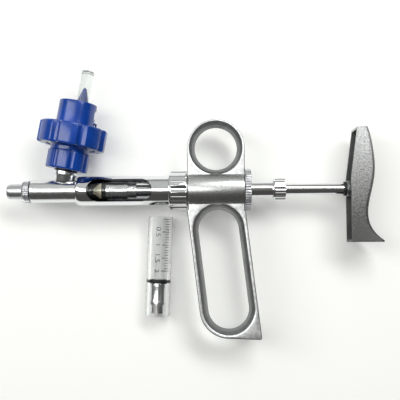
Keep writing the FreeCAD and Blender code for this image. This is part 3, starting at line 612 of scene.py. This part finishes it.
def notched_cup():
    """Lathe whose wall is open between two stations and two angles, with the cut closed."""
    inner = CUP_RADIUS - CUP_WALL
    profile = eased([(cup_start, 0), (cup_start, BOSS_RADIUS), (FLANGE_TOP, BOSS_RADIUS),
                     (FLANGE_TOP, CUP_RADIUS), (NOTCH_LOW, CUP_RADIUS), (NOTCH_HIGH, CUP_RADIUS),
                     (cup_end, CUP_RADIUS), (cup_end, inner), (NOTCH_HIGH, inner), (NOTCH_LOW, inner),
                     (cup_start + 1.6, inner), (cup_start + 1.6, 0)], 0.55)
    half = math.radians(NOTCH_HALF_ANGLE)
    across = np.linspace(math.pi - half, math.pi + half, 17)[:-1]
    round_back = np.linspace(math.pi + half, 3 * math.pi - half, 111, endpoint=False)
    angle = np.concatenate([across, round_back]) + NOTCH_TURN
    grid = round_axis(profile[:, :1], profile[:, 1:], angle)
    middle = (profile + np.roll(profile, -1, axis=0)) / 2
    in_wall = (middle[:, 0] > NOTCH_LOW) & (middle[:, 0] < NOTCH_HIGH) & (middle[:, 1] > inner - 0.1)
    opening = in_wall[:-1, None] & (np.arange(len(angle)) < 16)[None, :]
    rows = np.flatnonzero(in_wall[:-1])
    outer_rows, inner_rows = (np.append(part, part[-1] + 1) for part in (
        rows[profile[rows, 1] > inner + 0.7], rows[profile[rows, 1] < inner + 0.7]))
    inner_rows = inner_rows[::-1]
    strips = [np.stack([grid[outer_rows[edge], :17], grid[inner_rows[edge], :17]]) for edge in (0, -1)]
    strips += [np.stack([grid[outer_rows, column], grid[inner_rows, column]]) for column in (0, 16)]
    patches = [(grid, False, True, ~opening)] + [(strip, False, False) for strip in strips]
    return surface("adapter_cup_moulded", *[(stub.place(patch[0]), *patch[1:]) for patch in patches])


def rounded_block(name, seat, low, high, radius):
    """Box with round edges: a small sphere whose eight parts are pushed to the eight corners."""
    half_turn = np.linspace(0, np.pi / 2, 5)
    polar = np.concatenate([half_turn, half_turn + np.pi / 2])
    push_up = np.concatenate([np.ones(5), -np.ones(5)])
    turn = np.concatenate([half_turn + quarter * np.pi / 2 for quarter in range(4)])
    push_x = np.repeat([1, -1, -1, 1], 5)
    push_y = np.repeat([1, 1, -1, -1], 5)
    low, high = np.array(low, float), np.array(high, float)
    middle, half = (low + high) / 2, (high - low) / 2 - radius
    points = np.stack([np.sin(polar)[:, None] * np.cos(turn) * radius + push_x * half[0],
                       np.sin(polar)[:, None] * np.sin(turn) * radius + push_y * half[1],
                       np.broadcast_to((np.cos(polar) * radius + push_up * half[2])[:, None],
                                       (len(polar), len(turn)))], -1) + middle
    caps = points[[0, -1]]
    return surface(name, (seat.place(points), False, True), (seat.place(caps[:1].repeat(2, 0)), False, True))


cup = notched_cup()
dress(cup, "adapter", BLUE, "adapter_cup")
print("cup:", len(cup.data.polygons), "faces")

# %% Catch, spike and clear sleeve
catch_seat = Seat(stub.origin, stub.turn[0],
                  stub.turn[2] * math.cos(NOTCH_TURN) - stub.turn[1] * math.sin(NOTCH_TURN))
catch = rounded_block("adapter_catch", catch_seat,
                      (CATCH_START, -CUP_RADIUS - CATCH_HEIGHT, -CATCH_WIDTH / 2),
                      (CATCH_START + CATCH_LENGTH, -CUP_RADIUS + 0.6, CATCH_WIDTH / 2), 0.45)
dress(catch, "adapter", BLUE)

SPIKE_RADIUS, SPIKE_POINT, SPIKE_DISC, DISC_DEPTH = 2.45, 9.0, 6.5, 1.2
spike_start, spike_end = along("adapter_spike", spike_seat)[:2]
spike = turned("adapter_spike_moulded",
               [(spike_start, 0), (spike_start, SPIKE_DISC), (spike_start + DISC_DEPTH, SPIKE_DISC),
                (spike_start + DISC_DEPTH, SPIKE_RADIUS), (spike_end - SPIKE_POINT, SPIKE_RADIUS),
                (spike_end - 0.8, 0.75), (spike_end, 0)],
               spike_seat, edge=1.5, segments=64)
dress(spike, "adapter", BLUE, "adapter_spike")

sleeve_start, sleeve_end, SLEEVE_RADIUS = along("spike_sleeve", spike_seat)
SLEEVE_WALL = 0.5
sleeve = turned("spike_sleeve_clear",
                [(sleeve_start, SLEEVE_RADIUS - SLEEVE_WALL), (sleeve_start, SLEEVE_RADIUS),
                 (sleeve_end - 0.5, SLEEVE_RADIUS), (sleeve_end, SLEEVE_RADIUS - 0.9), (sleeve_end, 0),
                 (sleeve_end - 1.0, 0), (sleeve_end - 1.0, SLEEVE_RADIUS - 1.4),
                 (sleeve_end - 1.5, SLEEVE_RADIUS - SLEEVE_WALL)],
                spike_seat, edge=0.4, segments=64)
dress(sleeve, "spike_cap", CLEAR, "spike_sleeve")
print("spike:", round(spike_end - spike_start, 1), "mm long")

# %% [markdown]
# ## Casing with its two windows
# The casing is a tube with a long window above and a shorter one below. The wall that stays
# closed below, ahead of the piston, is a sheet put there for painted shade, and the bore's dark
# finish is painted shade as well. Seen from its end, what is left of the wall are two arcs. With c
# the half width of a window, the arc at radius r ends at the angle acos(c/r), so each half is a grid
# whose columns spread between the two windows' angles. Where there is no window c is 0, and the two
# halves meet. Strips close the cut edges.

# %% Casing
casing_start, casing_end, CASING_FLANGE = along("barrel_casing", barrel)
# The lower window starts at LOWER_START, so the closed wall ahead of it holds painted shade.
WINDOW_START, LOWER_START, WINDOW_END, WINDOW_HALF = 43.5, 52.0, 78.3, 6.05
CASING_INNER, CASING_OUTER = 7.05, 7.95
NECK_INNER, SHOULDER_INNER = 6.15, 6.85
FLARE, NECK_END = ((38.3, 7.75), (40.2, CASING_OUTER)), 39.5  # stations and radii of the flare


def window_half(stations, start):
    """Half width of a window with round ends: c = w sqrt(1 - u^2), u from 0 to 1 in each end."""
    into_end = np.maximum(start + WINDOW_HALF - stations, stations - WINDOW_END + WINDOW_HALF) / WINDOW_HALF
    return WINDOW_HALF * np.sqrt(np.clip(1 - np.clip(into_end, 0, 1) ** 2, 0, 1))


def window_stations(steps=14):
    """Stations along both windows, close together at their round ends."""
    sweep = WINDOW_HALF * (1 - np.cos(np.linspace(0, np.pi / 2, steps + 1)))
    ends = [WINDOW_START + sweep, LOWER_START + sweep, WINDOW_END - sweep]
    middle = np.linspace(LOWER_START + WINDOW_HALF, WINDOW_END - WINDOW_HALF, 8)
    return np.unique(np.round(np.concatenate([*ends, middle]), 4))


def casing_patches(side, columns=40):
    """One half of the casing, on the side of +Y or -Y: walls, end faces and cut edges."""
    places = window_stations()
    back = [casing_end - 1.9, casing_end - 1.8, casing_end]
    outer_x = np.concatenate([[casing_start, FLARE[0][0], FLARE[1][0]], places, back])
    outer_r = np.concatenate([[7.2, FLARE[0][1]], np.full(len(places) + 2, CASING_OUTER),
                              [CASING_FLANGE] * 2])
    inner_x = np.concatenate([[casing_start, NECK_END, NECK_END + 0.1], places, back[-1:]])
    inner_r = np.concatenate([[NECK_INNER, NECK_INNER, SHOULDER_INNER],
                              np.full(len(places) + 1, CASING_INNER)])
    grids = []
    for stations, radii in ((outer_x, outer_r), (inner_x, inner_r)):
        above = np.arccos(window_half(stations, WINDOW_START) / radii)[:, None]
        below = np.arccos(window_half(stations, LOWER_START) / radii)[:, None]
        angle = -below + (above + below) * np.linspace(0, 1, columns + 1)[None, :]
        grids.append(round_axis(stations[:, None], radii[:, None], angle) * (1, side, 1))
    outer, inner = grids
    patches = [(np.concatenate([outer, inner[::-1]]), True, False)]
    for column, start in ((0, LOWER_START), (-1, WINDOW_START)):
        cut = np.flatnonzero(places >= start - 0.001) + 3
        patches.append((np.stack([outer[cut, column], inner[cut, column]], 1), False, False))
    return patches


def round_edges(piece, width, segments, degrees):
    """Rounds the edges that are sharper than an angle, and leaves the rest alone."""
    bevel = piece.modifiers.new("edges", "BEVEL")
    bevel.width, bevel.segments = width, segments
    bevel.limit_method, bevel.angle_limit = "ANGLE", math.radians(degrees)


casing = surface("barrel_casing_cut", *(casing_patches(1) + casing_patches(-1)))
round_edges(casing, 0.00018, 2, 40)
dress(casing, "barrel", CHROME, "barrel_casing")
# The inner faces of the casing get the bore's painted shade.
second_finish(casing, PAINTED_SHADE_BORE, lambda centre, normal: normal.y * centre.y + normal.z * centre.z < -1.0)
print("casing:", len(casing.data.polygons), "faces")

# %% [markdown]
# ## Glass, piston and rod
# The glass is a thick tube with ground ends. Inside it stand the pale piston tip, the ring and
# the chromed piston, which all move with the rod and the palm rest.

# %% Glass
GLASS_BORE_RADIUS, ROD_CLEAR = 4.75, 3.2
RING_START, PISTON_START, PISTON_BACK, PISTON_END = 51.2, 53.5, 65.1, 69.7
SPARE_RING_START, ROD_RADIUS = 34.2, 3.15
tube("glass_barrel_tube", "glass_barrel", barrel, GLASS_BORE_RADIUS, "barrel", GLASS, edge=0.3)


def piston_pieces(label, seat, shift, body, press):
    """Ring and piston at a seat, shifted along it: the same two pieces serve both glasses.

    A ring that presses on the glass is seen through the glass's full width, a dry one isn't."""
    start, back, end = PISTON_START + shift, PISTON_BACK + shift, PISTON_END + shift
    land, groove, neck, width, bore, depth = 4.55, 4.38, 3.9, 2.3, 2.05, 5.2
    ring = turned(label + "_ring", pipe(RING_START + shift, start, GLASS_BORE_RADIUS + press, ROD_CLEAR),
                  seat, edge=0.5, segments=80)
    piston = turned(label + "_body",
                    [(start - width, 0), (start - width, ROD_RADIUS), (start, ROD_RADIUS), (start, land),
                     (start + width, land), (start + width, groove), (back - width, groove),
                     (back - width, land), (back, land), (back, neck),
                     (end, neck), (end, bore), (end - depth, bore), (end - depth, 0)],
                    seat, edge=0.18, segments=96)
    dress(ring, body, RUBBER, label + "_o_ring")
    return piston


piston = piston_pieces("piston", barrel, 0.0, "plunger", -0.05)
dress(piston, "plunger", SOFT_CHROME, "piston_body")
tip_start, tip_end, TIP_BASE = along("piston_tip", barrel)
tip = turned("piston_tip_soft",
             [(tip_start, 0), (tip_start, 1.3), (tip_end - 1.1, TIP_BASE), (tip_end, TIP_BASE), (tip_end, 0)],
             barrel, edge=0.35)
dress(tip, "plunger", SEAL, "piston_tip")
spare = piston_pieces("spare", bench, SPARE_RING_START - RING_START, "spare_plunger", 0.03)
dress(spare, "spare_plunger", SOFT_CHROME, "spare_piston")
spare_tube = turned("spare_glass_tube", pipe(0, spare_length, GLASS_OUTER / 2, GLASS_BORE_RADIUS),
                    bench, edge=0.3)
dress(spare_tube, "spare_barrel", GLASS, "spare_glass")
print("piston:", len(piston.data.polygons), "faces")

# %% Rod, dose sleeve and small rings
rod_start, rod_end = along("piston_rod", barrel)[:2]
boss_start = along("buffer_ring", barrel)[1]
ROD_STUD, STUD_LENGTH, ROD_TAIL, DOSE_BORE = 2.0, 5, 2.5, 3.45
rod = turned("piston_rod_drawn", [
    (rod_start, 0), (rod_start, ROD_STUD), (rod_start + STUD_LENGTH, ROD_STUD),
    (rod_start + STUD_LENGTH, ROD_RADIUS), (boss_start, ROD_RADIUS), (boss_start, ROD_TAIL),
    (rod_end, ROD_TAIL), (rod_end, 0)], barrel, edge=0.2)
dress(rod, "plunger", CHROME, "piston_rod")
dose_end, DOSE_RADIUS = along("dose_sleeve", barrel)[1:]
tube("dose_sleeve_turned", "dose_sleeve", barrel, DOSE_BORE, "dose_adjuster", CHROME, edge=0.25)
for node, finish, owner, inner in (("buffer_ring", RUBBER, "plunger", ROD_CLEAR),
                                   ("stop_washer", SEAL, "dose_stop", DOSE_BORE),
                                   ("rod_collar", CHROME, "plunger", ROD_CLEAR)):
    tube(node + "_turned", node, barrel, inner, owner, finish, edge=0.35)
print("rod:", round(rod_end - rod_start, 1), "mm long")

# %% [markdown]
# ## Fluted nuts and the lock ring
# A flute is a cut by a round cutter whose axis lies parallel to the nut, outside it. With the
# cutter's centre at distance d and its radius f, the cut leaves the radius
# d cos(a) - sqrt(f^2 - d^2 sin(a)^2) at an angle a from its middle. The relief is what the
# profile stands above that.


# %% Flutes and teeth
def flute_relief(outer, count, depth, cutter, low, high):
    """Relief of equally spaced round flutes between two stations."""
    centre = outer + cutter - depth

    def relief(station, radius, angle):
        step = 2 * np.pi / count
        away = (angle + step / 2) % step - step / 2
        under = cutter ** 2 - (centre * np.sin(away)) ** 2
        left = np.where(under > 0, centre * np.cos(away) - np.sqrt(np.maximum(under, 0)), 10 * outer)
        mask = (station > low) & (station < high)
        return np.where(mask, np.maximum(radius - left, 0), 0)
    return relief


def tooth_relief(count, depth, inner):
    """Straight knurling: crest and root each take a quarter of a tooth, with slopes between."""
    def relief(station, radius, angle):
        place = (wave(angle, count) - 0.0625) % 1.0
        return depth * (fade(place, 0.25, 0.5) - fade(place, 0.75, 1.0)) * fade(radius, inner, inner + 0.3)
    return relief


nut_start, nut_end, NUT_RADIUS = along("coupling_nut", barrel)
SHOULDER, NUT_FLUTES = 1.2, 12
NUT_MOUTH, NUT_BORE, LIP = 8.1, 8.9, 2.4
nut = turned("coupling_nut_fluted",
             [(nut_start, NUT_MOUTH), (nut_start, NUT_RADIUS), (nut_start + SHOULDER, NUT_RADIUS),
              (nut_start + SHOULDER + 0.05, NUT_RADIUS), (nut_end, NUT_RADIUS), (nut_end, NUT_BORE),
              (nut_start + LIP, NUT_BORE), (nut_start + LIP, NUT_MOUTH)],
             barrel, edge=0.5, segments=NUT_FLUTES * 24,
             relief=flute_relief(NUT_RADIUS, NUT_FLUTES, 0.6, 3.2, nut_start + SHOULDER, nut_end + 1))
dress(nut, "nut", CHROME, "coupling_nut")

lock_start, lock_end, LOCK_RADIUS = along("lock_ring", barrel)
LOCK_TEETH = 48
lock = turned("lock_ring_toothed",
              pipe(lock_start, lock_end, LOCK_RADIUS, DOSE_RADIUS + 0.15),
              barrel, edge=0.4, segments=LOCK_TEETH * 8,
              relief=tooth_relief(LOCK_TEETH, 0.6, LOCK_RADIUS - 1.5))
dress(lock, "lock", SATIN, "lock_ring")

grip_start, grip_end, GRIP_NUT_RADIUS = along("dose_grip_nut", barrel)
grip = turned("dose_grip_nut_fluted",
              [(grip_start, DOSE_RADIUS + SEAT_GAP), (grip_start, GRIP_NUT_RADIUS),
               (grip_start + 1.1, GRIP_NUT_RADIUS), (grip_start + 1.15, GRIP_NUT_RADIUS),
               (grip_end, GRIP_NUT_RADIUS), (grip_end, DOSE_BORE),
               (dose_end, DOSE_BORE), (dose_end, DOSE_RADIUS + SEAT_GAP)],
              barrel, edge=0.35, segments=NUT_FLUTES * 20,
              relief=flute_relief(GRIP_NUT_RADIUS, NUT_FLUTES, 0.45, 1.7, grip_start + 1.1, grip_end + 1))
dress(grip, "dose_adjuster", CHROME, "dose_grip_nut")
print("nut:", len(nut.data.polygons), "faces, lock ring:", len(lock.data.polygons))

# %% [markdown]
# ## Handle
# The handle is a casting of two flat plates on a sleeve. Each plate surrounds a finger hole
# that is narrowest on the middle plane, because the two halves of the mould meet there. A plate
# is a ring-shaped grid: at each point of the hole's edge, a ray runs outwards until it meets
# the plate's outline, and the plate's section is drawn along that ray.


# %% Outlines in the plane of the handle
PLATE, HOLE_DRAFT, BULGE = 6.5, 3.0, (-1.75, 4)
RING_CENTRE, RING_HOLE, RING_RIM = np.array((112.3, 22.1)), 14.2, 1.05
LOOP_TOP, LOOP_FOOT = np.array((113.5, -21.6)), np.array((118.4, -63.1))
LOOP_HOLE, LOOP_RIM, CORNER_ROUND = 13.65, 1.75, 1.2
SLEEVE_START, SLEEVE_END, SLEEVE_RADIUS_OUT = 97.4, 127.4, 10.2
SINK, LEFT_SHOULDER, RIGHT_SHOULDER = 5.1, -10.75, -11.6


def arc(centre, radius, start, stop, step=2.0):
    """Points of an arc in the plane; angles in degrees from +X."""
    count = max(2, int(abs(stop - start) / step) + 1)
    angle = np.radians(np.linspace(start, stop, count))
    return centre + radius * np.stack([np.cos(angle), np.sin(angle)], 1)


def direction(vector):
    """Direction in the plane, in degrees from +X."""
    return math.degrees(math.atan2(vector[1], vector[0]))


def right_angle(vector):
    return np.array((vector[1], -vector[0]))


def meeting(point_a, along_a, point_b, along_b):
    """Point where two lines of the plane cross."""
    share = np.linalg.solve(np.stack([along_a, -along_b], 1), point_b - point_a)
    return point_a + along_a * share[0]


def loop_outline():
    """Outline of the finger loop, clockwise from the sleeve's front, with its pointed corner."""
    rim = LOOP_HOLE + LOOP_RIM
    down, base = unit(LOOP_FOOT - LOOP_TOP), unit(np.array((1.0, -LOOP_RIM / LOOP_HOLE / 3)))
    left, below = right_angle(down), right_angle(base)
    corner = meeting(LOOP_FOOT - left * rim, down, LOOP_FOOT + below * rim, base)
    across = np.array((1.0, 0.0))
    left_top = meeting(LOOP_FOOT + left * rim, down, np.array((0.0, LEFT_SHOULDER)), across)
    right_top = meeting(LOOP_FOOT - left * rim, down, np.array((0.0, RIGHT_SHOULDER)), across)
    half = math.acos(float(np.dot(base, down))) / 2
    run = 1.6 * CORNER_ROUND / math.tan(math.pi / 2 - half)
    nose = bend(corner - base * run, corner, corner - down * run, 6)
    front, back = SLEEVE_START + 0.02, SLEEVE_END - 0.02
    return np.vstack([[(front, -SINK), (front, LEFT_SHOULDER), left_top],
                      arc(LOOP_FOOT, rim, direction(left) % 360, direction(below) % 360), nose,
                      [right_top, (back, RIGHT_SHOULDER), (back, -SINK)]])


def ring_outline():
    """Outline of the finger ring: round above, with straight sides down into the sleeve."""
    rim = RING_HOLE + RING_RIM
    return np.vstack([arc(RING_CENTRE, rim, 0, 180), [RING_CENTRE + (-rim, SINK - RING_CENTRE[1]),
                                                      RING_CENTRE + (rim, SINK - RING_CENTRE[1])]])


def hole_edge(foot, top, radius, outline):
    """Points and outward directions round a hole with round ends about two centres.

    Directions towards the outline's own corners are added, so that no corner is cut off."""
    axis = top - foot
    heading = direction(axis) if np.any(axis) else 90.0
    points, normals = [], []
    for centre, start in ((foot, heading + 90), (top, heading - 90)):
        angles = list(np.arange(start, start + 180.01, 2.5))
        for corner in outline:
            turn = (direction(corner - centre) - start) % 360
            if 0 < turn < 180:
                angles.append(start + turn)
        angles = np.radians(np.array(sorted(set(np.round(angles, 4)))))
        keep = np.concatenate([[True], np.diff(angles) > math.radians(0.15)])
        spokes = np.stack([np.cos(angles[keep]), np.sin(angles[keep])], 1)
        points.append(centre + radius * spokes)
        normals.append(spokes)
        if np.any(axis):
            other = top if centre is foot else foot
            share = np.linspace(0, 1, 16)[1:-1, None]
            points.append(centre + radius * spokes[-1] + share * (other - centre))
            normals.append(np.repeat(spokes[-1:], 14, axis=0))
    return np.vstack(points), np.vstack(normals)


def ray_reach(points, normals, outline):
    """Distance from each point along its direction to the outline."""
    start, stop = outline, np.roll(outline, -1, axis=0)
    side = stop - start
    gap = start[None] - points[:, None]
    across = normals[:, None, 0] * side[None, :, 1] - normals[:, None, 1] * side[None, :, 0]
    across = np.where(np.abs(across) < 1e-12, 1e-12, across)
    reach = (gap[..., 0] * side[None, :, 1] - gap[..., 1] * side[None, :, 0]) / across
    share = (gap[..., 0] * normals[:, None, 1] - gap[..., 1] * normals[:, None, 0]) / across
    good = (reach > 0) & (share > -1e-6) & (share < 1 + 1e-6)
    return np.where(good, reach, np.inf).min(1)


def plate(name, foot, top, hole, outline, edge=0.9):
    """Cast plate round a hole, as a grid that closes both ways."""
    points, normals = hole_edge(foot, top, hole, outline)
    reach = np.maximum(ray_reach(points, normals, outline), 0.3)
    rows = []
    for point, normal, width in zip(points, normals, reach):
        section = eased([(-HOLE_DRAFT, 0), BULGE, (0, PLATE), (width, PLATE), (width, -PLATE),
                         (0, -PLATE), (BULGE[0], -BULGE[1])], edge, axis=False)
        rows.append(np.stack([point[0] + normal[0] * section[:, 0], point[1] + normal[1] * section[:, 0],
                              section[:, 1]], 1))
    return surface(name, (np.array(rows), True, True), sharp=50)


print("loop outline:", len(loop_outline()), "points, ring outline:", len(ring_outline()))

# %% Plates, sleeve and bush
ring = plate("handle_ring", RING_CENTRE, RING_CENTRE, RING_HOLE, ring_outline())
loop = plate("handle_loop", LOOP_FOOT, LOOP_TOP, LOOP_HOLE, loop_outline())
spigot_start = along("handle", barrel)[0]
SPIGOT_BORE, SPIGOT_RADIUS, SPIGOT_FLOOR = 7.05, 8.75, 95.3
BUSH_BORE, BUSH_START, ROD_BORE = 6.2, 119.4, 5.25
sleeve_casting = turned("handle_sleeve",
                        [(spigot_start, SPIGOT_BORE), (spigot_start, SPIGOT_RADIUS),
                         (SLEEVE_START, SPIGOT_RADIUS), (SLEEVE_START, SLEEVE_RADIUS_OUT),
                         (SLEEVE_END, SLEEVE_RADIUS_OUT), (SLEEVE_END, BUSH_BORE), (BUSH_START, BUSH_BORE),
                         (BUSH_START, ROD_BORE), (SPIGOT_FLOOR, ROD_BORE), (SPIGOT_FLOOR, SPIGOT_BORE)],
                        barrel, edge=0.5, segments=160)
dress(sleeve_casting, "barrel", SLEEVE_CAST, "handle")
for piece in (ring, loop):
    dress(piece, "barrel", CAST)
    second_finish(piece, GROUND,
                  lambda centre, normal: abs(normal.z) > 0.9 and abs(centre.z) > PLATE - 0.2)
print("handle:", sum(len(piece.data.polygons) for piece in (ring, loop, sleeve_casting)), "faces")

# %% [markdown]
# ## Palm rest
# The palm rest is a thin casting that is open towards the handle. For every height y its front
# is at F(y) and its back at B(y), so one section is a U drawn from front to back and round to
# the front again. The outer skin and the inner skin are two such grids. Their ends are closed by
# flat walls, and the rim joins them. B(y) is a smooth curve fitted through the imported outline.

# %% Palm rest
palm_low, palm_high = cad_points("palm_rest").min(0), cad_points("palm_rest").max(0)
PALM_WALL, PALM_HALF = 1.3, palm_high[2]
PALM_FRONT, PALM_BEND, PALM_LEAN, PALM_BOSS = 183.2, 5.0, 3.8, 4.3


def palm_height(y):
    """Height in the palm rest, scaled to -1 to 1."""
    return (y - palm_low[1]) / (palm_high[1] - palm_low[1]) * 2 - 1


def palm_back_curve():
    """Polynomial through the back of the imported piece, over its scaled height."""
    points = cad_points("palm_rest")
    rim = points[np.abs(np.abs(points[:, 2]) - PALM_HALF) < 0.01]
    back = rim[(rim[:, 0] > PALM_FRONT + 7.5) & (rim[:, 1] > palm_low[1] + 0.8)]
    return np.polynomial.Polynomial.fit(palm_height(back[:, 1]), back[:, 0], 7)


palm_curve = palm_back_curve()


def palm_front(y):
    return PALM_FRONT + PALM_LEAN * np.clip((y - PALM_BEND) / (palm_high[1] - PALM_BEND), 0, None)


def palm_back(y):
    return np.minimum(palm_curve(palm_height(y)), palm_high[0])


def palm_skin(inset, edge, heights):
    """One skin as a grid: a row for each height, a column for each place along the U."""
    rows = []
    for y in heights:
        front, back, half = palm_front(y), palm_back(y) - inset, PALM_HALF - inset
        corner = eased([(front, half), (back, half), (back, -half), (front, -half)], edge, 6, axis=False)
        section = np.vstack([[(front, half)], corner[7:21], [(front, -half)]])
        rows.append(np.stack([section[:, 0], np.full(len(section), y), section[:, 1]], 1))
    return np.array(rows)


def end_wall(row, steps=8):
    """Flat wall between the two halves of one section, which mirror each other in Z."""
    half = row[:len(row) // 2]
    other = row[::-1][:len(row) // 2]
    share = np.linspace(0, 1, steps + 1)[None, :, None]
    return half[:, None] * (1 - share) + other[:, None] * share


def palm_patches(count=72):
    outer_y = np.linspace(palm_low[1], palm_high[1], count)
    inner_y = np.linspace(palm_low[1] + PALM_WALL, palm_high[1] - PALM_WALL, count)
    outer, inner = palm_skin(0, 2.4, outer_y), palm_skin(PALM_WALL, 1.4, inner_y)
    patches = [outer, inner]
    for row in (0, -1):
        walls = end_wall(outer[row]), end_wall(inner[row])
        patches += [*walls, np.stack([walls[0][0], walls[1][0]])]
    for column in (0, -1):
        patches.append(np.stack([outer[:, column], inner[:, column]]))
    return [(patch, False, False) for patch in patches]


palm = surface("palm_rest_shell", *palm_patches(), sharp=40)
round_edges(palm, 0.0005, 3, 45)
dress(palm, "plunger", PALM, "palm_rest")
palm_middle = (palm_low[1] + palm_high[1]) / 2


def inside_palm(centre, normal):
    """The inner skin looks forwards, towards the middle plane or towards the middle height."""
    outward = normal.x + normal.z * np.sign(centre.z) + normal.y * np.sign(centre.y - palm_middle)
    return outward < -0.4 and centre.x > palm_front(centre.y) + 0.3


# The inner skin of the palm rest gets the painted shade of its hollow.
second_finish(palm, PAINTED_SHADE_CAST, inside_palm)
boss_back = float(palm_back(0.0)) - PALM_WALL / 2
boss = turned("palm_boss", rod_section(boss_start, boss_back, PALM_BOSS), barrel, edge=0.5)
dress(boss, "plunger", CAST)
print("palm rest:", len(palm.data.polygons), "faces")

# %% [markdown]
# ## Printed scale
# The spare glass carries a plain scale: a line for every 0.1 ml and a figure at each 0.5 ml. The
# marks are flat strips wrapped onto the glass: a point at a distance s across the print lies at
# the angle s / r round it. The figures are text turned to a mesh, wrapped in the same way.


# %% Marks and figures
TICK_WIDTH, INK_LIFT, WIDEN = 0.34, 0.03, 1.35
SCALE_ZERO, SCALE_PER_ML = 1.3, 14.1
PRINT_TURN = math.radians(90)


def wrapped(station, across):
    """Places points of the print onto the upper side of the spare glass."""
    radius = GLASS_OUTER / 2 + INK_LIFT
    return bench.place(round_axis(station, radius, PRINT_TURN - across / radius))


def mark(station, start, stop):
    across = np.linspace(start, stop, 9)
    edges = [np.full(9, station - TICK_WIDTH / 2), np.full(9, station + TICK_WIDTH / 2)]
    return wrapped(np.stack(edges), np.stack([across, across])), False, False


marks = [mark(SCALE_ZERO + tenth * SCALE_PER_ML / 10, 3.3 if tenth % 5 else 1.7, 6.6) for tenth in range(21)]
scale = surface("scale_marks", *marks)
dress(scale, "spare_barrel", INK)


def figure(text, station, across, size=3.4):
    """Digits as a mesh, turned to read along the glass and wrapped onto it."""
    curve = bpy.data.curves.new("figure " + text, "FONT")
    curve.body, curve.size = text, size
    curve.align_x, curve.align_y = "CENTER", "CENTER"
    letter = in_scene("figure " + text, curve)
    bpy.context.view_layer.update()
    mesh = bpy.data.meshes.new_from_object(letter)
    bpy.data.objects.remove(letter)
    flat = np.array([point.co[:] for point in mesh.vertices])
    placed = wrapped(station + flat[:, 0] * WIDEN, across + flat[:, 1])
    for point, place in zip(mesh.vertices, placed * MM):
        point.co = place
    return dress(in_scene("figure_" + text.replace(".", "_"), mesh), "spare_barrel", INK)


for half_ml, text in enumerate(("0.5", "1", "1.5", "2"), start=1):
    figure(text, SCALE_ZERO + half_ml * SCALE_PER_ML / 2, -0.8)
print("scale:", len(marks), "marks")

# %% [markdown]
# ## Camera
# The photograph was taken from nearly straight above. The camera's place was worked out from
# features that can be seen in it, such as the ends of the barrel and the corners of the handle.


# %% Camera
def aim_camera():
    """Camera from its place, the way it looks and the way up in the picture, in metres."""
    eye = Vector((0.10984, -0.02537, 0.37488))
    look = Vector((-0.01662, 0.05335, -0.99844))
    side = look.cross(Vector((0.00908, 0.99854, 0.05321))).normalized()
    top = side.cross(look).normalized()
    data = bpy.data.cameras.new("camera")
    data.sensor_width, data.lens, data.clip_start = 36.0, 62.9, 0.01
    camera = in_scene("camera", data)
    camera.matrix_world = Matrix.Translation(eye) @ Matrix((side, top, -look)).transposed().to_4x4()
    bpy.context.scene.camera = camera


aim_camera()
print("camera: lens", bpy.context.scene.camera.data.lens, "mm")

# %% [markdown]
# ## Light
# Polished metal shows its surroundings, so the light is built from what the barrel should show:
# a room that is pale towards the far side of the bench and dim towards the near side, and two
# lamps. With n a direction to the pale side, the room's colour depends on the cosine of the
# angle between n and the direction that a ray looks in. The ground is white where the camera, a
# mirror or glass sees it, and it keeps the shadow.

# %% Floor
floor_z = cad_low[2]


def white_ground():
    """Diffuse floor with a little glow of its own for the rays that look at it."""
    material = bpy.data.materials.new("white_ground")
    material.use_nodes = True
    tree = material.node_tree
    shader = tree.nodes["Principled BSDF"]
    for socket, value in (("Base Color", (0.91, 0.92, 0.885, 1)), ("Roughness", 0.9),
                          ("Specular IOR Level", 0.1), ("Emission Color", (1, 1, 1, 1))):
        shader.inputs[socket].default_value = value
    path = add_node(tree, "LightPath").outputs
    looking = add_up(tree, path["Is Camera Ray"], path["Is Glossy Ray"])
    looking = add_up(tree, looking, path["Is Transmission Ray"])
    glow = add_node(tree, "MapRange", Value=looking, To_Max=0.18)
    tree.links.new(glow.outputs["Result"], shader.inputs["Emission Strength"])
    return material


bpy.ops.mesh.primitive_plane_add(size=6.0, location=(0.1, 0.0, floor_z - 0.0002))
floor = bpy.context.object
floor.name = "ground"
floor.data.materials.append(white_ground())


# %% Lamps and room
def soft_lamp(name, place, aim, size, power):
    data = bpy.data.lights.new(name, "AREA")
    data.shape, data.size, data.size_y = "RECTANGLE", size[0], size[1]
    data.energy = power
    lamp = in_scene(name, data)
    lamp.location = place
    lamp.rotation_euler = (Vector(aim) - Vector(place)).to_track_quat("-Z", "Y").to_euler()


def half_lit_room():
    """World that is pale about one direction and dims away from it."""
    world = bpy.data.worlds.new("room")
    world.use_nodes = True
    nodes, links = world.node_tree.nodes, world.node_tree.links
    facing = nodes.new("ShaderNodeVectorMath")
    facing.operation = "DOT_PRODUCT"
    facing.inputs[1].default_value = (-0.25, 0.66, 0.71)
    links.new(nodes.new("ShaderNodeTexCoord").outputs["Generated"], facing.inputs[0])
    ramp = nodes.new("ShaderNodeValToRGB")
    stops = ((0.25, (0.075, 0.073, 0.07)), (0.66, (0.17, 0.165, 0.15)), (0.93, (0.58, 0.59, 0.57)))
    ramp.color_ramp.elements.new(stops[1][0])
    for element, (position, colour) in zip(ramp.color_ramp.elements, stops):
        element.position, element.color = position, (*colour, 1)
    links.new(facing.outputs["Value"], ramp.inputs["Fac"])
    links.new(ramp.outputs["Color"], nodes["Background"].inputs["Color"])
    return world


soft_lamp("left lamp", (-0.24, 0.10, 0.55), (0.06, 0, 0), (0.22, 0.75), 2.15)
soft_lamp("right lamp", (0.34, 0.30, 0.55), (0.12, 0, 0), (0.45, 0.16), 2.3)
bpy.context.scene.world = half_lit_room()
bpy.context.scene.view_settings.view_transform = "Standard"
print("lamps:", [lamp.name for lamp in bpy.data.lights])
